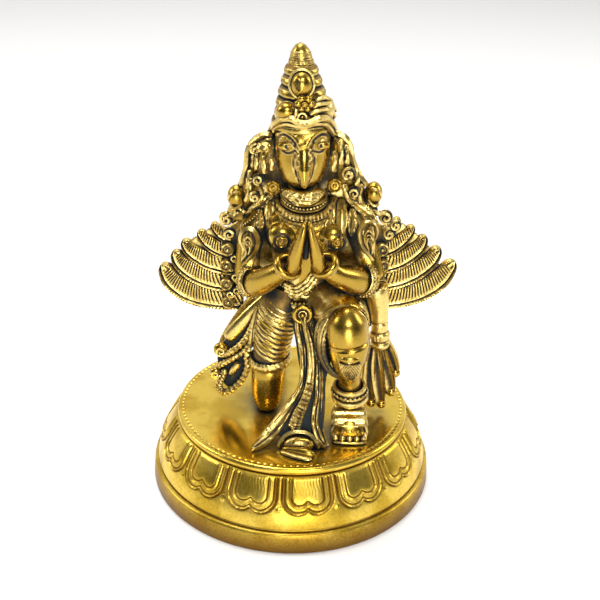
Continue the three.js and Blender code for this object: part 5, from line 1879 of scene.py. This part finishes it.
def room_light():
    """A room that is dark towards the front and pale at the back."""
    world = bpy.data.worlds.new("room")
    world.use_nodes = True
    tree = world.node_tree
    way = tree.nodes.new("ShaderNodeTexCoord")
    split = tree.nodes.new("ShaderNodeSeparateXYZ")
    tree.links.new(way.outputs["Generated"], split.inputs[0])
    ramp = tree.nodes.new("ShaderNodeMapRange")
    ramp.interpolation_type = "SMOOTHSTEP"
    for socket, value in zip(ramp.inputs[1:5], (*PALER_BACK, ROOM["front"], ROOM["back"])):
        socket.default_value = value
    tree.links.new(split.outputs[1], ramp.inputs[0])
    high = tree.nodes.new("ShaderNodeMapRange")
    for socket, value in zip(high.inputs[1:5], (*PALER_UP, 0, ROOM["above"])):
        socket.default_value = value
    tree.links.new(split.outputs[2], high.inputs[0])
    both = tree.nodes.new("ShaderNodeMath")
    both.operation = "MAXIMUM"
    tree.links.new(ramp.outputs[0], both.inputs[0])
    tree.links.new(high.outputs[0], both.inputs[1])
    background = tree.nodes["Background"]
    background.inputs["Color"].default_value = (1, 0.98, 0.95, 1)
    tree.links.new(both.outputs[0], background.inputs["Strength"])
    return world


class BRASS_OT_stage(bpy.types.Operator):
    """Sets the floor, the soft lights and the camera"""

    bl_idname = "brass.stage"
    bl_label = "Stage"

    def execute(self, context):
        clear_selection()
        bpy.ops.mesh.primitive_plane_add(size=FLOOR_WIDTH, location=(0, 0, PLINTH_LOW.z))
        floor = context.object
        floor.name = "floor"
        floor.data.materials.append(pale_floor(tuple(context.scene.brass_colours.floor)))
        for name, place, (width, height), power, colour in LIGHTS:
            bpy.ops.object.light_add(type="AREA", location=place)
            light = context.object
            light.name = name
            light.data.shape = "RECTANGLE"
            light.data.size, light.data.size_y = width, height
            light.data.energy = power
            light.data.color = colour
            aim = LIGHT_AIM - Vector(place)
            light.rotation_euler = aim.to_track_quat("-Z", "Y").to_euler()
        context.scene.world = room_light()
        context.scene.view_settings.view_transform = "Standard"
        bpy.ops.object.camera_add(location=CAMERA_PLACE)
        camera = context.object
        away = CAMERA_RIGHT.cross(CAMERA_UP)
        turn = Matrix((CAMERA_RIGHT, CAMERA_UP, away)).transposed()
        camera.matrix_world = Matrix.Translation(CAMERA_PLACE) @ turn.to_4x4()
        camera.data.lens = CAMERA_LENS
        camera.data.sensor_width = CAMERA_SENSOR
        context.scene.camera = camera
        return {"FINISHED"}


class BRASS_PT_panel(bpy.types.Panel):
    """The figure's sizes, colours and steps"""

    bl_idname = "BRASS_PT_panel"
    bl_label = "Brass garuda"
    bl_space_type = "VIEW_3D"
    bl_region_type = "UI"
    bl_category = "Brass"

    def draw(self, context):
        for group in (context.scene.brass_figure, context.scene.brass_plinth, context.scene.brass_colours):
            for name in group.bl_rna.properties.keys():
                if name not in {"rna_type", "name"}:
                    self.layout.prop(group, name)
        for operator in OPERATORS:
            self.layout.operator(operator.bl_idname)


GROUPS = {"brass_figure": FigureSizes, "brass_plinth": PlinthSizes, "brass_colours": BrassColours}
OPERATORS = (BRASS_OT_stage, BRASS_OT_figure, BRASS_OT_plinth)


def register():
    for each in (*GROUPS.values(), *OPERATORS, BRASS_PT_panel):
        bpy.utils.register_class(each)
    for name, group in GROUPS.items():
        setattr(bpy.types.Scene, name, bpy.props.PointerProperty(type=group))


def unregister():
    for name in GROUPS:
        delattr(bpy.types.Scene, name)
    for each in (BRASS_PT_panel, *reversed(OPERATORS), *reversed(GROUPS.values())):
        bpy.utils.unregister_class(each)


def main():
    register()
    bpy.ops.brass.stage()
    bpy.ops.brass.figure()
    bpy.ops.brass.plinth()


if __name__ == "__main__":
    main()
